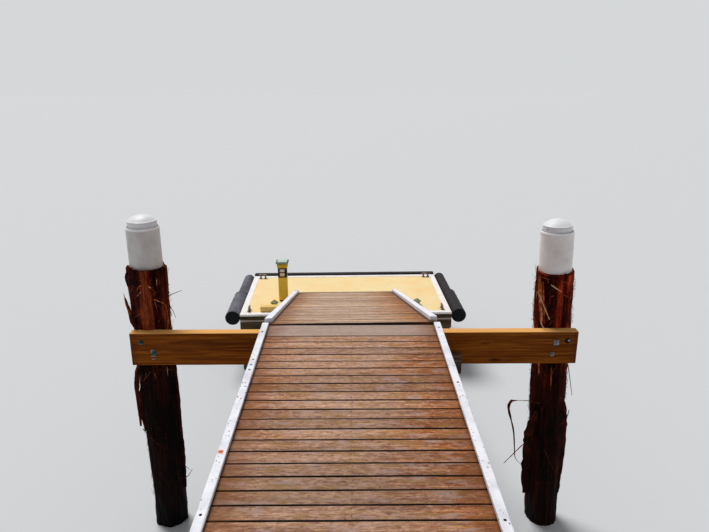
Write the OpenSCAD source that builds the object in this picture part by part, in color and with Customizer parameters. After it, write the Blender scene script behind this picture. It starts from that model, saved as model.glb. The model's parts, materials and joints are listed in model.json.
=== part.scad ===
// Wooden jetty: a boarded walkway on bark-covered log piles, with a hinged gangway
// that runs down to a moored float.
//
// X runs across the jetty, Y runs along it towards open water and Z runs up.
// The origin is the middle of the footprint, level with the pile feet and the
// underside of the float. Sizes are in millimetres.

/* [Walkway] */
// Width of the walkway over its boards
deck_w = 1222; // [1000:2:1400]
// Height of the walkway deck above the underside of the float
deck_z = 1670; // [1500:10:1900]
// Board pitches in one bay
bay_boards = 31; // [20:1:36]
// Width of a deck board
board_w = 89; // [70:1:120]
// Gap between deck boards
board_gap = 5; // [3:1:8]
// Thickness of a deck board
board_t = 28; // [22:1:38]
// Radius on the upper edges of a board
board_edge = 3; // [1:0.5:5]
// Width of a walkway kerb
kerb_w = 45; // [35:1:70]
// Height of a walkway kerb
kerb_h = 22; // [15:1:60]
// Depth of a walkway joist
joist_d = 150; // [90:1:180]
// Thickness of a walkway joist
joist_t = 50; // [35:1:75]
// Spacing of the inner joists
joist_pitch = 410; // [250:10:440]
// Depth of the ledger that carries the joist ends
ledger_d = 125; // [70:1:150]
// Thickness of a ledger
ledger_t = 75; // [45:1:90]
// Length of a ledger
ledger_l = 1366; // [1360:2:1700]
// Set of the ledgers to the right of the walkway's centre line
ledger_x = 62; // [-70:2:70]

/* [Bents] */
// Set of the bents to the right of the walkway's centre line
bent_x = 10; // [0:1:40]
// Reach of a crossbeam past the axis of its left pile
reach_left = 103; // [80:1:300]
// Reach of a crossbeam past the axis of its right pile
reach_right = 123; // [80:1:300]
// Depth of a crossbeam
beam_d = 237; // [180:1:300]
// Thickness of a crossbeam
beam_t = 70; // [50:1:100]
// Distance between the axes of the two piles of a bent
pile_spread = 2828; // [2400:2:2860]
// Mean diameter of a pile over its bark
pile_d = 280; // [260:1:320]
// Taper of a pile, as diameter lost per metre of height going down
pile_taper = 14; // [0:1:30]
// Lean of the right piles towards the walkway, in degrees
lean = 1.9; // [0:0.1:4]
// Depth of the flat cut in a pile to seat the crossbeam
check_d = 22; // [10:1:40]
// Depth of the flutes in the bark
flute = 7; // [2:1:10]
// Height of the left pile's bark above the deck
bark_top_left = 393; // [300:1:600]
// Height of the right pile's bark above the deck
bark_top_right = 354; // [300:1:600]

/* [Pile sleeves] */
// Outside diameter of a pile sleeve
sleeve_d = 222; // [200:1:240]
// Wall of a pile sleeve
sleeve_wall = 8; // [3:1:15]
// Height of a pile sleeve
sleeve_h = 283; // [150:1:400]
// Depth of the cap inside the sleeve
cap_plug = 40; // [20:1:80]
// Height of the cap's neck above the sleeve
cap_neck = 36; // [10:1:60]
// Rise of the cap's dome
cap_rise = 42; // [20:1:60]
// Gap all round between the cap and the sleeve
cap_gap = 5.5; // [0.5:0.5:8]

/* [Hinge] */
// Room between a hinge eye and its bracket's plate
hinge_room = 4; // [3:0.5:8]
// Diameter of a hinge pin
pin_d = 16; // [12:1:18]
// Clearance all round a pin in its eyes
pin_gap = 0.3; // [0.2:0.1:0.6]
// Radius of a hinge eye
eye_r = 14; // [13:0.5:16]
// Thickness of a hinge lug and of a strap
lug_t = 8; // [6:1:12]
// Side gap between a lug and the strap
lug_gap = 1; // [0.5:0.5:3]
// Gap between a hinge eye and the boards above it
eye_gap = 3; // [2:0.5:6]
// Width of a hinge bracket's plate
plate_w = 90; // [60:1:120]
// Height of a hinge bracket's plate below the axis
plate_h = 96; // [60:1:140]
// Length of a strap along its stringer
strap_l = 260; // [150:10:400]

/* [Gangway] */
// Width of the gangway over its boards
ramp_w = 1212; // [1000:2:1240]
// Number of gangway boards
ramp_boards = 34; // [33:1:36]
// Room between the walkway and the first gangway board when the gangway lies level
nose_room = 5.5; // [5.5:0.5:8]
// Thickness of a stringer
stringer_t = 50; // [38:1:70]
// Depth of a stringer
stringer_d = 100; // [90:1:110]
// Start of a stringer past the hinge axis
stringer_start = 26; // [24:1:40]
// Width of a gangway kerb
ramp_kerb_w = 50; // [35:1:70]
// Height of a gangway kerb
ramp_kerb_h = 32; // [20:1:60]
// Start of a gangway kerb past the hinge axis
ramp_kerb_start = 40; // [5:1:100]
// Depth of a nogging between the stringers
nogging_d = 75; // [50:1:85]
// Thickness of a nogging
nogging_t = 45; // [35:1:60]
// Length of the toe strip along the gangway
toe_l = 50; // [30:1:90]
// Thickness of the toe strip
toe_t = 6; // [3:1:12]
// Radius of a foot roller
roller_r = 40; // [38:1:50]
// Width of a foot roller
roller_w = 48; // [30:1:80]
// Diameter of the foot axle
axle_d = 20; // [14:1:28]
// Distance from the toe back to the axle
axle_back = 110; // [100:1:180]
// Height of the axle below the hinge axis, square to the deck
axle_drop = 52; // [48:1:60]
// Room left under the toe of a stringer
toe_room = 12; // [6:1:20]

/* [Float] */
// Height of the float's deck above its underside
float_h = 700; // [600:10:800]
// Width of the float
float_w = 2410; // [2200:10:2600]
// Length of the float
float_l = 1400; // [1300:10:2400]
// Distance from the end of the walkway to the middle of the float's near edge
float_off = 2660; // [2500:10:2720]
// Angle of the gangway and the float off square with the walkway, as they are moored
turn = 1.3; // [-2:0.1:2]
// Thickness of the float's deck panel
panel_t = 20; // [12:1:30]
// Width of the float's edging
edging_w = 70; // [40:1:100]
// Height of the edging above the deck panel
edging_up = 4; // [2:1:10]
// Thickness of the float's rim timbers
rim_t = 45; // [35:1:60]
// Depth of the float's rim timbers
rim_d = 44; // [40:1:140]
// Thickness of the ledge below the rim
ledge_t = 24; // [10:1:40]
// Depth of the walers and bearers
waler_d = 100; // [70:1:140]
// Set-back of each end of a waler
waler_inset = 0; // [0:1:60]
// Number of float tanks
tanks = 3; // [2:1:4]
// Gap between float tanks
tank_gap = 150; // [60:10:300]
// Set-back of the tanks from the float's near and far sides
tank_inset = 12; // [0:1:40]
// Corner radius of a float tank
tank_r = 60; // [20:1:100]
// Diameter of the near length of a side fender
fender_d = 168; // [100:1:200]
// Diameter of the far length of a side fender
far_fender_d = 138; // [100:1:200]
// Depth of a side fender's axis below the deck
fender_drop = 40; // [40:1:80]
// Thickness of the rubber fender on the far edge
rubber_t = 80; // [40:1:120]
// Height of the rubber fender on the far edge
rubber_h = 110; // [60:1:140]
// Height of the rubber fender's top above the deck
rubber_up = 25; // [0:1:40]

/* [Float fittings] */
// Length of a cleat's horns
horn_l = 115; // [100:5:200]
// Distance between a cleat's legs
cleat_legs = 60; // [50:1:80]
// Height of a cleat's horns above its feet
cleat_h = 46; // [36:1:70]
// Distance from the float's side to a mooring knob
knob_in = 370; // [300:5:400]
// Distance from the float's near edge to the mooring knobs
knob_on = 250; // [180:5:400]
// Diameter of a mooring knob
knob_d = 96; // [60:1:130]
// Height of a mooring knob
knob_h = 84; // [60:1:120]
// Distance from the float's side to the middle of the step box
step_in = 325; // [280:5:380]
// Width of the step box
step_w = 205; // [120:1:240]
// Length of the step box
step_l = 90; // [60:1:110]
// Height of the step box
step_h = 62; // [30:1:100]
// Distance from the float's side to the service post
post_in = 460; // [380:5:500]
// Distance from the float's near edge to the service post
post_on = 480; // [380:2:700]
// Width of the service post
post_w = 104; // [80:1:125]
// Height of the service post's body
post_h = 416; // [300:1:600]
// Height of the label panel on the service post
label_h = 118; // [60:1:140]
// Width of the service post's collar
collar_w = 120; // [110:1:150]
// Height of the service post's collar
collar_h = 54; // [40:1:100]
// Width of the service post's cap
post_cap_w = 150; // [140:1:200]
// Height of the service post's cap
post_cap_h = 22; // [10:1:60]

/* [Hidden] */

$fn = 48;
eps = 1;

// Along the jetty
bays = 3;
pitch = board_w + board_gap;
bay_l = bay_boards * pitch;
walk_l = bays * bay_l + board_w;
strap_x = ramp_w / 2 - stringer_t - lug_t / 2;
axis_out = lug_t + hinge_room + eye_r + strap_x * abs(sin(turn));
float_near = float_off - axis_out;
total_l = walk_l + axis_out + (float_near + float_l + rubber_t) * cos(turn)
          + float_w / 2 * abs(sin(turn));
hinge_y = walk_l - total_l / 2;
butt_gap = 3;

// Levels of the walkway's timbers
board_z = deck_z - board_t;
beam_z = board_z - beam_d;
joist_z = board_z - joist_d;
ledger_z = joist_z - ledger_d;

// Piles, sleeves and caps
pile_x = pile_spread / 2;
pile_y = pile_d / 2 - check_d;
sleeve_bore = sleeve_d - 2 * sleeve_wall;
spigot_d = sleeve_bore - 14;
spigot_h = sleeve_h - cap_plug;
cap_d = sleeve_bore - 2 * cap_gap;

// The right piles lean about the middle of the crossbeam, so their feet reach out further
// than the left piles do. Half of the difference keeps the footprint's middle at x = 0.
lean_z = beam_z + beam_d / 2;
foot_taper = pile_taper * (deck_z + bark_top_right) / 1000;
bent_mid = (foot_taper / 2 - lean_z * tan(lean)) / 2;
walk_x = bent_mid - bent_x;

// Hinge axis, and the slope at which the rollers stand on the float's deck
surface_up = board_t + eye_gap + eye_r;
axis_y = hinge_y + axis_out;
axis_z = deck_z - surface_up;
ramp_nose = axis_out - nose_room - ramp_w / 2 * abs(sin(turn));
ramp_l = ramp_boards * pitch - board_gap - ramp_nose;
axle_y = ramp_l - axle_back;
seat_gap = 0.3;
foot_drop = axis_z - (float_h + roller_r + seat_gap);
slope = asin(foot_drop / norm([axle_y, axle_drop])) - atan2(axle_drop, axle_y);
stringer_x = (ramp_w - stringer_t) / 2;
stringer_top = surface_up - board_t;
nogging_rows = 4;

// Float levels
panel_z = float_h - panel_t;
rim_z = panel_z - rim_d;
ledge_z = rim_z - ledge_t;
waler_z = ledge_z - waler_d;
tank_w = (float_w - 2 * waler_inset - (tanks - 1) * tank_gap) / tanks;

// Where the float's fittings stand, from its middle and its near edge
cleat_edge = edging_w + 24;
cleat_near = [float_w / 2 - cleat_edge, cleat_edge + cleat_legs / 2];
cleat_far = [float_w / 2 - cleat_edge - cleat_legs / 2, float_l - cleat_edge];
knob_at = [float_w / 2 - knob_in, knob_on];
step_at = [step_in - float_w / 2, edging_w + 6 + step_l / 2];
post_at = [post_in - float_w / 2, post_on];

timber = [0.55, 0.38, 0.24];
hardwood = [0.72, 0.46, 0.24];
dark_timber = [0.30, 0.20, 0.14];
bark = [0.32, 0.16, 0.11];
white_paint = [0.92, 0.92, 0.90];
steel = [0.62, 0.64, 0.66];
black_rubber = [0.12, 0.12, 0.13];
cream = [0.95, 0.87, 0.66];
post_yellow = [0.85, 0.67, 0.25];

// Sea-side face of the crossbeam of bent n, where bent 0 is the head of the jetty
function bent_y(n) = hinge_y - n * bay_l;

// A board or a kerb, seen from its end, with its upper edges eased
module eased_profile(w, t) {
    polygon([[0, 0], [w, 0], [w, t - board_edge], [w - board_edge, t],
             [board_edge, t], [0, t - board_edge]]);
}

// A board of length l across X, its lower near corner at y = 0 and z = 0
module board(l, w, t) {
    translate([-l / 2, 0, 0])
        rotate([90, 0, 90])
            linear_extrude(l) eased_profile(w, t);
}

// A kerb of length l along Y, its lower left corner at x = 0, y = 0 and z = 0
module kerb(l, w, h) {
    translate([0, l, 0])
        rotate([90, 0, 0])
            linear_extrude(l) eased_profile(w, h);
}

// Copies of its children on the left and on the right
module both_sides() {
    for (side = [0, 1])
        mirror([side, 0, 0]) children();
}

// A rectangle with round corners
module rounded(w, l, r) {
    square([w - 2 * r, l], center = true);
    square([w, l - 2 * r], center = true);
    for (x = [-1, 1], y = [-1, 1])
        translate([x * (w / 2 - r), y * (l / 2 - r)]) circle(r);
}

// Radius of a log at angle a and height z, with flutes that wander up the bark
function log_r(a, z, top, ph) =
    (pile_d - pile_taper * (top - z) / 1000) / 2
    - flute * (1 + sin(3 * a + ph[0] + z / 12) + sin(7 * a + ph[1] - z / 9) / 2) / 2;

// A point of a log that leans by angle a, with its foot kept level on the ground
function leant(p, a) =
    p[2] == 0 ? [p[0] - lean_z * tan(a), p[1], 0]
    : [p[0] * cos(a) + (p[2] - lean_z) * sin(a), p[1],
       lean_z - p[0] * sin(a) + (p[2] - lean_z) * cos(a)];

// Moves its children with a log that leans by angle a
module leaning(a) {
    translate([0, 0, lean_z]) rotate([0, a, 0]) translate([0, 0, -lean_z]) children();
}

// A fluted, tapered log that leans by angle tilt, from the ground to its square top
module log(top, seed, tilt) {
    sides = 24;
    rings = 8;
    ph = rands(0, 360, 2, seed);
    points = [for (k = [0:rings], i = [0:sides - 1])
        let (z = top * k / rings, a = 360 * i / sides, r = log_r(a, z, top, ph))
        leant([r * cos(a), r * sin(a), z], tilt)];
    walls = [for (k = [0:rings - 1], i = [0:sides - 1])
        let (j = (i + 1) % sides, low = k * sides, high = low + sides)
        each [[low + i, high + i, high + j], [low + i, high + j, low + j]]];
    foot = [for (i = [0:sides - 1]) i];
    head = [for (i = [sides - 1:-1:0]) rings * sides + i];
    polyhedron(points, concat(walls, [foot, head]));
}

// A pile: the log checked out for the crossbeam, its head turned down for the sleeve
module pile(bark_top, seed, tilt) {
    top = deck_z + bark_top;
    difference() {
        log(top, seed, tilt);
        translate([-pile_d, -pile_d - pile_y, beam_z])
            cube([2 * pile_d, pile_d, beam_d]);
    }
    leaning(tilt)
        translate([0, 0, top - eps])
            cylinder(d = spigot_d, h = spigot_h + eps);
}

// The two piles of bent n
module piles(n) {
    color(bark)
        translate([bent_mid, bent_y(n) + pile_y, 0]) {
            translate([-pile_x, 0, 0]) pile(bark_top_left, 10 + n, 0);
            translate([pile_x, 0, 0])
                mirror([1, 0, 0]) pile(bark_top_right, 10 + n, lean);
        }
}

module head_piles() { piles(0); }
module second_piles() { piles(1); }
module third_piles() { piles(2); }
module shore_piles() { piles(3); }

// Puts its children on the bark shoulder of every pile
module on_each_pile() {
    for (n = [0:bays], side = [-1, 1])
        translate([bent_mid + side * pile_x, bent_y(n) + pile_y, 0])
            leaning(side < 0 ? 0 : -lean)
                translate([0, 0, deck_z + (side < 0 ? bark_top_left : bark_top_right)])
                    children();
}

module pile_sleeves() {
    color(white_paint)
        on_each_pile()
            difference() {
                cylinder(d = sleeve_d, h = sleeve_h);
                translate([0, 0, -eps]) cylinder(d = sleeve_bore, h = sleeve_h + 2 * eps);
            }
}

// A domed cap: a plug inside the sleeve, a neck above it and a spherical dome
module sleeve_cap() {
    dome_r = (pow(cap_d / 2, 2) + pow(cap_rise, 2)) / (2 * cap_rise);
    dome_a = asin(cap_d / 2 / dome_r);
    steps = 8;
    rotate_extrude($fn = 64)
        polygon(concat(
            [[0, 0], [cap_d / 2, 0]],
            [for (i = [0:steps])
                let (a = dome_a * (1 - i / steps))
                [dome_r * sin(a), cap_plug + cap_neck + cap_rise - dome_r * (1 - cos(a))]]));
}

module sleeve_caps() {
    color(white_paint)
        on_each_pile()
            translate([0, 0, spigot_h]) sleeve_cap();
}

// The crossbeam of bent n, on the landward side of its piles
module crossbeam(n) {
    color(hardwood)
        translate([bent_mid - pile_x - reach_left, bent_y(n) - beam_t, beam_z])
            cube([pile_spread + reach_left + reach_right, beam_t, beam_d]);
}

module head_crossbeam() { crossbeam(0); }

module bay_crossbeams() {
    for (n = [1:bays]) crossbeam(n);
}

// Ledgers on the crossbeams: landward for the bay behind, seaward for the bay in front
module ledgers() {
    color(dark_timber) {
        for (n = [0:bays - 1])
            translate([walk_x + ledger_x - ledger_l / 2, bent_y(n) - beam_t - ledger_t, ledger_z])
                cube([ledger_l, ledger_t, ledger_d]);
        for (n = [1:bays])
            translate([walk_x + ledger_x - ledger_l / 2, bent_y(n), ledger_z])
                cube([ledger_l, ledger_t, ledger_d]);
    }
}

// Joists of bay n, between its two crossbeams
module joists(n) {
    edge = (deck_w - joist_t) / 2;
    color(dark_timber)
        for (x = [-edge, -joist_pitch, 0, joist_pitch, edge])
            translate([walk_x + x - joist_t / 2, bent_y(n), joist_z])
                cube([joist_t, bay_l - beam_t, joist_d]);
}

module joists_bay_1() { joists(1); }
module joists_bay_2() { joists(2); }
module joists_bay_3() { joists(3); }

// Deck board number k, counted back from the sea end
module deck_board(k, w) {
    translate([walk_x, hinge_y - k * pitch - board_w, board_z]) board(deck_w, w, board_t);
}

// Boards of bay n: the first two places hold one wide board at the sea end
module deck_bay(n) {
    first = (n - 1) * bay_boards;
    last = n * bay_boards - (n < bays ? 1 : 0);
    color(timber)
        for (k = [first:last]) {
            if (k == 1) deck_board(1, board_w + pitch);
            if (k > 1) deck_board(k, board_w);
        }
}

module deck_bay_1() { deck_bay(1); }
module deck_bay_2() { deck_bay(2); }
module deck_bay_3() { deck_bay(3); }

// Kerbs of bay n, on the ends of its boards
module kerbs(n) {
    far = bent_y(n - 1) - (n > 1 ? butt_gap : 0);
    near = bent_y(n) - (n < bays ? 0 : board_w);
    color(white_paint)
        translate([walk_x, near, deck_z])
            both_sides()
                translate([deck_w / 2 - kerb_w, 0, 0]) kerb(far - near, kerb_w, kerb_h);
}

module kerbs_bay_1() { kerbs(1); }
module kerbs_bay_2() { kerbs(2); }
module kerbs_bay_3() { kerbs(3); }

// Side view of a hinge eye on a flat of height 2 * eye_r that reaches to y = reach
module eye_profile(reach) {
    circle(eye_r);
    translate([min(reach, 0), -eye_r]) square([abs(reach), 2 * eye_r]);
}

// A plate of thickness lug_t across X, from a side view in Y and Z
module across(x) {
    translate([x - lug_t / 2, 0, 0])
        rotate([90, 0, 90])
            linear_extrude(lug_t) children();
}

module pin_bore(x, l) {
    translate([x, 0, 0])
        rotate([0, 90, 0])
            cylinder(d = pin_d + 2 * pin_gap, h = l, center = true);
}

// Moves its children from the frame of the moored gangway and float to their place.
// In that frame the hinge axis stands over X and Y runs out along the gangway.
module moored() {
    translate([walk_x, axis_y, 0]) rotate([0, 0, turn]) children();
}

// The hinge bracket on one side, left or right: a plate flat on the head crossbeam
// and two lugs that are turned to the hinge axis
module hinge_bracket(side) {
    lug_x = lug_t + lug_gap;
    reach = axis_out + side * strap_x * sin(turn);
    difference() {
        union() {
            translate([walk_x + side * strap_x * cos(turn) - plate_w / 2, hinge_y,
                       axis_z - plate_h])
                cube([plate_w, lug_t, plate_h + eye_r]);
            moored()
                translate([0, 0, axis_z])
                    for (x = [-lug_x, lug_x])
                        across(side * strap_x + x) eye_profile(lug_t / 2 - reach);
        }
        moored()
            translate([0, 0, axis_z]) pin_bore(side * strap_x, 4 * lug_t + 4 * lug_gap);
    }
}

module hinge_brackets() {
    color(steel)
        for (side = [-1, 1])
            hinge_bracket(side);
}

// A pin through each hinge, with a head on its inner end
module hinge_pins() {
    pin_l = 3 * lug_t + 2 * lug_gap;
    head_h = 6;
    color(steel)
        moored()
            both_sides()
                translate([strap_x, 0, axis_z])
                    rotate([0, 90, 0]) {
                        cylinder(d = pin_d, h = pin_l + 2 * head_h, center = true);
                        translate([0, 0, -pin_l / 2 - head_h - seat_gap])
                            cylinder(d = 2 * eye_r, h = head_h);
                    }
}

// Moves its children from the gangway's own frame to its place at rest.
// In that frame the hinge axis is X and the boards lie level along +Y.
module on_gangway() {
    moored()
        translate([0, 0, axis_z]) rotate([-slope, 0, 0]) children();
}

// Stringers, cut level at the toe to clear the float's deck
module gangway_stringers() {
    color(dark_timber)
        difference() {
            on_gangway()
                for (x = [-stringer_x, 0, stringer_x])
                    difference() {
                        translate([x - stringer_t / 2, stringer_start,
                                   stringer_top - stringer_d])
                            cube([stringer_t, ramp_l - stringer_start, stringer_d]);
                        translate([x, axle_y, -axle_drop])
                            rotate([0, 90, 0])
                                cylinder(d = axle_d + 2 * pin_gap,
                                         h = stringer_t + 2 * eps, center = true);
                    }
            moored()
                translate([-ramp_w, float_near / 2, 0])
                    cube([2 * ramp_w, float_off, float_h + toe_room]);
        }
}

// Noggings between the stringers, under the boards
module gangway_noggings() {
    first = stringer_start + strap_l;
    last = axle_y - 2 * roller_r - nogging_t;
    bay = stringer_x - stringer_t;
    color(dark_timber)
        on_gangway()
            both_sides()
                for (k = [0:nogging_rows - 1])
                    translate([stringer_t / 2,
                               first + k * (last - first) / (nogging_rows - 1),
                               stringer_top - nogging_d])
                        cube([bay, nogging_t, nogging_d]);
}

module gangway_deck() {
    color(timber)
        on_gangway()
            for (k = [0:ramp_boards - 1])
                translate([0, k * pitch - ramp_nose, stringer_top])
                    board(ramp_w, board_w, board_t);
}

module gangway_kerbs() {
    color(white_paint)
        on_gangway()
            both_sides()
                translate([ramp_w / 2 - ramp_kerb_w, ramp_kerb_start, surface_up])
                    kerb(ramp_l - ramp_kerb_start, ramp_kerb_w, ramp_kerb_h);
}

module toe_strip() {
    color(cream)
        on_gangway()
            translate([-ramp_w / 2 + ramp_kerb_w, ramp_l - toe_l, surface_up])
                cube([ramp_w - 2 * ramp_kerb_w, toe_l, toe_t]);
}

// Straps on the inner faces of the outer stringers, each with an eye round its pin
module hinge_straps() {
    color(steel)
        on_gangway()
            both_sides()
                difference() {
                    across(strap_x) eye_profile(stringer_start + strap_l - nogging_t);
                    pin_bore(strap_x, 2 * lug_t);
                }
}

module foot_axle() {
    color(steel)
        on_gangway()
            translate([0, axle_y, -axle_drop])
                rotate([0, 90, 0])
                    cylinder(d = axle_d, h = ramp_w - 10, center = true);
}

// Two rollers on the foot axle, beside the outer stringers
module foot_rollers() {
    roller_x = strap_x - roller_w / 2 - 10;
    color(black_rubber)
        on_gangway()
            both_sides()
                translate([roller_x, axle_y, -axle_drop])
                    rotate([0, 90, 0])
                        difference() {
                            cylinder(r = roller_r, h = roller_w, center = true);
                            cylinder(d = axle_d + 2 * pin_gap, h = roller_w + 2 * eps,
                                     center = true);
                        }
}

// Moves its children from the float's own frame to its place at rest.
// In that frame the middle of the near edge is the origin and Y runs to the far edge.
module on_float() {
    moored() translate([0, float_near, 0]) children();
}

// A roto-moulded tank with a shallow waist
module tank() {
    waist = 12;
    band = 90;
    side_w = tank_w;
    side_l = float_l - 2 * tank_inset;
    translate([0, float_l / 2, 0]) {
        linear_extrude(waler_z) rounded(side_w - 2 * waist, side_l - 2 * waist, tank_r);
        linear_extrude(band) rounded(side_w, side_l, tank_r);
        translate([0, 0, waler_z - band])
            linear_extrude(band) rounded(side_w, side_l, tank_r);
    }
}

module float_tanks() {
    color([0.25, 0.27, 0.30])
        on_float()
            for (k = [0:tanks - 1])
                translate([(k - (tanks - 1) / 2) * (tank_w + tank_gap), 0, 0]) tank();
}

// Walers along the near and far sides, on top of the tanks
module float_walers() {
    l = float_w - 2 * waler_inset;
    color(dark_timber)
        on_float()
            for (y = [0, float_l - rim_t])
                translate([-l / 2, y, waler_z]) cube([l, rim_t, waler_d]);
}

// Bearers from waler to waler, one at each side of every tank
module float_bearers() {
    color(dark_timber)
        on_float()
            for (k = [0:tanks - 1], side = [-1, 1])
                translate([(k - (tanks - 1) / 2) * (tank_w + tank_gap)
                           + side * (tank_w / 2 - tank_r - rim_t / 2) - rim_t / 2,
                           rim_t, waler_z])
                    cube([rim_t, float_l - 2 * rim_t, waler_d + ledge_t]);
}

// The light ledge between rim and walers
module float_ledges() {
    color(hardwood)
        on_float()
            for (y = [0, float_l - rim_t])
                translate([-float_w / 2 + waler_inset / 2, y, ledge_z])
                    cube([float_w - waler_inset, rim_t, ledge_t]);
}

// Two members of length float_w along the near and far edges
module long_edges(band, h) {
    for (y = [0, float_l - band])
        translate([-float_w / 2, y, 0]) cube([float_w, band, h]);
}

// Two members along the sides, between the long ones
module side_edges(band, h) {
    both_sides()
        translate([float_w / 2 - band, band, 0]) cube([band, float_l - 2 * band, h]);
}

module float_rim() {
    color(dark_timber)
        on_float()
            translate([0, 0, rim_z]) long_edges(rim_t, rim_d);
}

module float_sides() {
    color(dark_timber)
        on_float()
            translate([0, 0, rim_z]) side_edges(rim_t, rim_d);
}

// Joists that carry the deck panel on the bearers
module float_joists() {
    rows = 3;
    color(dark_timber)
        on_float()
            for (k = [1:rows])
                translate([-float_w / 2 + rim_t,
                           k * (float_l - rim_t) / (rows + 1), rim_z])
                    cube([float_w - 2 * rim_t, rim_t, rim_d]);
}

module float_deck() {
    color(cream)
        on_float()
            translate([-float_w / 2 + edging_w, edging_w, panel_z])
                cube([float_w - 2 * edging_w, float_l - 2 * edging_w, panel_t]);
}

module float_edging() {
    color(white_paint)
        on_float()
            translate([0, 0, panel_z]) long_edges(edging_w, panel_t + edging_up);
}

module side_edging() {
    color(white_paint)
        on_float()
            translate([0, 0, panel_z]) side_edges(edging_w, panel_t + edging_up);
}

// A fender with round shoulders against one side of the float, from y = far back
module fender(side, far, d) {
    shoulder = 20;
    steps = 5;
    l = (float_l - butt_gap) / 2;
    rounded_end = [for (i = [0:steps])
        let (a = 90 * i / steps)
        [d / 2 - shoulder * (1 - cos(a)), shoulder * (1 - sin(a))]];
    profile = concat([[0, 0]], [for (i = [steps:-1:0]) rounded_end[i]],
                     [for (p = rounded_end) [p[0], l - p[1]]], [[0, l]]);
    translate([side * (float_w / 2 + d / 2 + seat_gap), far, float_h - fender_drop])
        rotate([90, 0, 0])
            rotate_extrude() polygon(profile);
}

// Two fender lengths end to end on one side of the float
module fenders(side) {
    color(black_rubber)
        on_float() {
            fender(side, (float_l - butt_gap) / 2, fender_d);
            fender(side, float_l, far_fender_d);
        }
}

module left_fenders() { fenders(-1); }
module right_fenders() { fenders(1); }

// A half-round rubber fender along the far edge
module far_rubber() {
    color(black_rubber)
        on_float()
            translate([-float_w / 2, float_l, float_h + rubber_up - rubber_h])
                rotate([90, 0, 90])
                    linear_extrude(float_w)
                        intersection() {
                            translate([0, rubber_h / 2])
                                scale([rubber_t / (rubber_h / 2), 1]) circle(rubber_h / 2);
                            square([rubber_t, rubber_h]);
                        }
}

// A horn cleat along X: two feet, two legs and a tapered horn
module cleat() {
    foot_d = 40;
    foot_h = 6;
    leg_d = 20;
    tip_r = 7;
    mid_r = 11;
    for (x = [-cleat_legs / 2, cleat_legs / 2])
        translate([x, 0, 0]) {
            cylinder(d = foot_d, h = foot_h);
            cylinder(d = leg_d, h = cleat_h);
        }
    translate([0, 0, cleat_h])
        rotate([0, 90, 0])
            translate([0, 0, -horn_l / 2])
                rotate_extrude()
                    polygon([[0, 0], [tip_r - 2, 0], [tip_r, 3],
                             [mid_r, horn_l / 2 - cleat_legs / 2],
                             [mid_r, horn_l / 2 + cleat_legs / 2],
                             [tip_r, horn_l - 3], [tip_r - 2, horn_l], [0, horn_l]]);
}

module cleats() {
    color(steel)
        on_float()
            both_sides() {
                translate([cleat_near[0], cleat_near[1], float_h])
                    rotate([0, 0, 90]) cleat();
                translate([cleat_far[0], cleat_far[1], float_h]) cleat();
            }
}

// Low knobs with pointed heads, either side of the gangway's foot
module mooring_knobs() {
    head = knob_h / 2;
    color([0.55, 0.58, 0.50])
        on_float()
            both_sides()
                translate([knob_at[0], knob_at[1], float_h])
                    rotate_extrude()
                        polygon([[0, 0], [knob_d / 2, 0], [knob_d / 2, 8],
                                 [knob_d / 3, 14], [knob_d / 3, head],
                                 [knob_d / 2, head + 8], [knob_d / 2 - 4, head + 16],
                                 [6, knob_h], [0, knob_h]]);
}

module step_box() {
    color(post_yellow)
        on_float()
            translate([step_at[0], step_at[1], float_h + step_h / 2])
                cube([step_w, step_l, step_h], center = true);
}

// Moves its children to the foot of the service post
module on_post() {
    on_float()
        translate([post_at[0], post_at[1], float_h]) children();
}

// The square post on its set-back foot, with a bare label panel on its landward face
module post_body() {
    foot_w = post_w - 12;
    foot_h = 12;
    label_t = 3;
    color(post_yellow)
        on_post() {
            translate([-foot_w / 2, -foot_w / 2, 0]) cube([foot_w, foot_w, foot_h]);
            translate([-post_w / 2, -post_w / 2, foot_h])
                cube([post_w, post_w, post_h - foot_h]);
            translate([-post_w / 2, -post_w / 2 - label_t, post_h - label_h])
                cube([post_w, label_t, label_h]);
        }
}

module post_collar() {
    color([0.60, 0.45, 0.12])
        on_post()
            translate([-collar_w / 2, -collar_w / 2, post_h])
                cube([collar_w, collar_w, collar_h]);
}

module post_cap() {
    bevel = post_cap_h / 2;
    color([0.80, 0.86, 0.81])
        on_post()
            translate([0, 0, post_h + collar_h])
                rotate([0, 0, 45]) {
                    cylinder(d = post_cap_w * sqrt(2), h = post_cap_h - bevel, $fn = 4);
                    translate([0, 0, post_cap_h - bevel])
                        cylinder(d1 = post_cap_w * sqrt(2),
                                 d2 = (post_cap_w - 3 * bevel) * sqrt(2),
                                 h = bevel, $fn = 4);
                }
}

head_piles();
second_piles();
third_piles();
shore_piles();
pile_sleeves();
sleeve_caps();
head_crossbeam();
bay_crossbeams();
ledgers();
joists_bay_1();
joists_bay_2();
joists_bay_3();
deck_bay_1();
deck_bay_2();
deck_bay_3();
kerbs_bay_1();
kerbs_bay_2();
kerbs_bay_3();
hinge_brackets();
hinge_pins();
gangway_stringers();
gangway_noggings();
gangway_deck();
gangway_kerbs();
toe_strip();
hinge_straps();
foot_axle();
foot_rollers();
float_tanks();
float_walers();
float_bearers();
float_ledges();
float_rim();
float_sides();
float_joists();
float_deck();
float_edging();
side_edging();
left_fenders();
right_fenders();
far_rubber();
cleats();
mooring_knobs();
step_box();
post_body();
post_collar();
post_cap();
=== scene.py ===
"""Looks of the wooden jetty: boards, bark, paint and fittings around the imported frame."""

import json
import math

import bpy
import numpy as np
from mathutils import Matrix, Vector


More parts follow.
